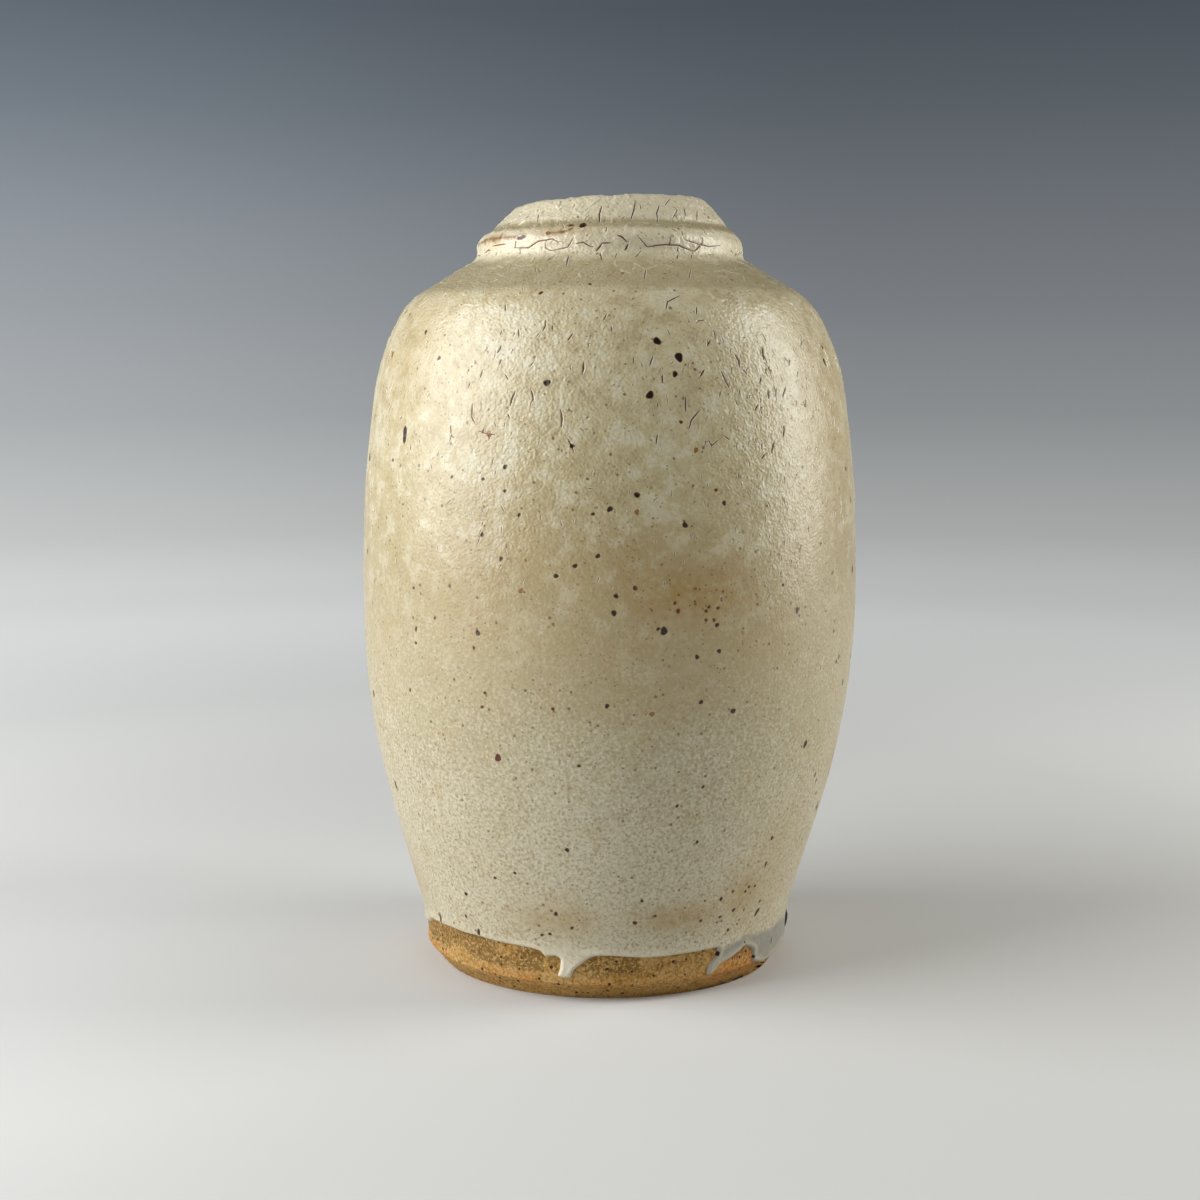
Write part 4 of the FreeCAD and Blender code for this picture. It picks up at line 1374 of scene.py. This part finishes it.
glaze = glaze_material()
bare = foot_material()
body_clay = clay_material("clay_body", srgb(164, 126, 78), srgb(120, 90, 52), 0.85)
slip = clay_material("slip", srgb(176, 142, 96), srgb(140, 108, 66), 0.9)
for piece, material, slot in (
    (body_coat, glaze, "cream_glaze"),
    (collar_coat, glaze, "cream_glaze"),
    (foot_clay, bare, "bare_clay"),
    (collar_clay, body_clay, "clay_body"),
    (slag_lump, slag_material(), "slag"),
):
    dress(piece, material)
    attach(piece, "root")
for node, material in (
    ("upper_bowl", body_clay),
    ("belly_slip_seam", slip),
    ("neck_slip_seam", slip),
    ("inner_glaze", liner_material()),
):
    dress(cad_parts[node], material)


# The studio: a round sweep, pale at the floor and darker up its wall, and three soft boxes
SWEEP_FLOOR = 1.1
SWEEP_CURVE = 0.6
SWEEP_TOP = 1.9
SWEEP_COLUMNS = 96
# The far paper's light by height, from the floor to the top of the wall.
GLOW_STOPS = (
    (0.0, srgb(178, 180, 179)), (0.03, srgb(163, 165, 164)), (0.14, srgb(134, 137, 139)),
    (0.26, srgb(115, 119, 123)), (0.38, srgb(99, 104, 110)), (0.49, srgb(80, 87, 94)),
    (0.61, srgb(63, 70, 78)),
)


def sweep_material():
    """Paper with painted light of its own, standing in for lamps on the backdrop, brighter far away and on
    the left, and on the nearer floor.
    """
    m = Material("sweep_paper", roughness=0.9, specular=0.1)
    x, y, height = (m.axis(name) for name in "XYZ")
    away = m.vector("LENGTH", m.stretched(1, 1, 0))["Value"]
    m.colour(m.mix(m.step(away, 0.35, 1.1), srgb(207, 207, 205), srgb(60, 60, 60)))
    # painted light on the floor: a glowing patch left of the jar lifts the shadow that the right box casts
    # there, and the nearer floor glows more towards the left
    painted_light_beside_jar = m.times(m.step(y, 0.1, 0.0), m.step(y, -0.3, -0.12), m.step(x, -0.05, -0.2), 0.16)
    nearer = m.times(m.step(away, 0.15, 0.7), m.plus(m.times(m.step(x, 0.3, -0.1), 0.3), 0.22))
    lit = m.math("MAXIMUM", m.math("MAXIMUM", m.step(away, 0.22, 0.92), nearer), painted_light_beside_jar)
    gain = m.plus(m.times(m.step(height, -0.1, 0.4), 0.6), 0.5)
    side = m.plus(m.times(m.step(x, 0.36, -1.0), gain), 1.0)
    inputs = ((0, m.ramp(height, GLOW_STOPS)), ("Scale", m.times(lit, side)))
    m.set("Emission Color", m.add("ShaderNodeVectorMath", inputs, operation="SCALE")["Vector"])
    m.set("Emission Strength", 1.0)
    m.bump(m.noise(1.0), 0.01)
    return m.material


def sweep():
    profile = [(0.02, 0.0)]
    profile += [(r, 0.0) for r in np.linspace(0.1, SWEEP_FLOOR, 12)]
    for turn in np.linspace(0, math.pi / 2, 24)[1:]:
        profile.append((SWEEP_FLOOR + SWEEP_CURVE * math.sin(turn), SWEEP_CURVE * (1 - math.cos(turn))))
    profile += [(SWEEP_FLOOR + SWEEP_CURVE, z) for z in np.linspace(SWEEP_CURVE, SWEEP_TOP, 8)[1:]]
    points = []
    for r, z in profile:
        for j in range(SWEEP_COLUMNS):
            angle = math.tau * j / SWEEP_COLUMNS
            points.append((r * math.cos(angle), r * math.sin(angle), z))
    faces = [list(range(SWEEP_COLUMNS))] + bands(len(profile), SWEEP_COLUMNS)
    piece = new_object("studio_sweep", np.array(points), faces)
    dress(piece, sweep_material())
    return piece


sweep()
JAR_MIDDLE = (0, 0, 0.13)


def beside(azimuth, elevation, distance):
    """A place some distance from the jar's middle, at angles round from the front and up, in degrees."""
    round_from_front, up = math.radians(azimuth), math.radians(elevation)
    level = distance * math.cos(up)
    return (
        level * math.sin(round_from_front),
        -level * math.cos(round_from_front),
        JAR_MIDDLE[2] + distance * math.sin(up),
    )


def soft_box(name, place, aim, width, height, power, colour):
    data = bpy.data.lights.new(name, "AREA")
    data.shape = "RECTANGLE"
    data.size = width
    data.size_y = height
    data.energy = power
    data.color = colour
    lamp = bpy.data.objects.new(name, data)
    lamp.location = place
    lamp.rotation_euler = (Vector(aim) - Vector(place)).to_track_quat("-Z", "Y").to_euler()
    lamp.visible_camera = False
    bpy.context.scene.collection.objects.link(lamp)


soft_box("left_box", beside(-73, 24, 0.85), JAR_MIDDLE, 0.80, 0.85, 11.6, (1.0, 1.0, 1.0))
soft_box("right_box", beside(93, 21, 0.85), JAR_MIDDLE, 0.42, 0.75, 6.5, (1.0, 0.98, 0.92))
soft_box("top_box", (0, 0.3, 1.5), (0, 0.3, 0), 1.6, 1.6, 1.2, (1.0, 1.0, 1.0))

world = bpy.data.worlds.new("studio")
world.use_nodes = True
world.node_tree.nodes["Background"].inputs["Color"].default_value = srgb(205, 208, 212)
world.node_tree.nodes["Background"].inputs["Strength"].default_value = 0.08
bpy.context.scene.world = world
bpy.context.scene.view_settings.view_transform = "Standard"

camera_data = bpy.data.cameras.new("camera")
camera_data.sensor_width = SENSOR_MM
camera_data.lens = SENSOR_MM * FOCAL_PIXELS / PHOTO_SIDE
camera = bpy.data.objects.new("camera", camera_data)
camera.location = CAMERA_PLACE
camera.rotation_euler = (math.pi / 2 - CAMERA_DROP, 0, 0)
bpy.context.scene.collection.objects.link(camera)
bpy.context.scene.camera = camera
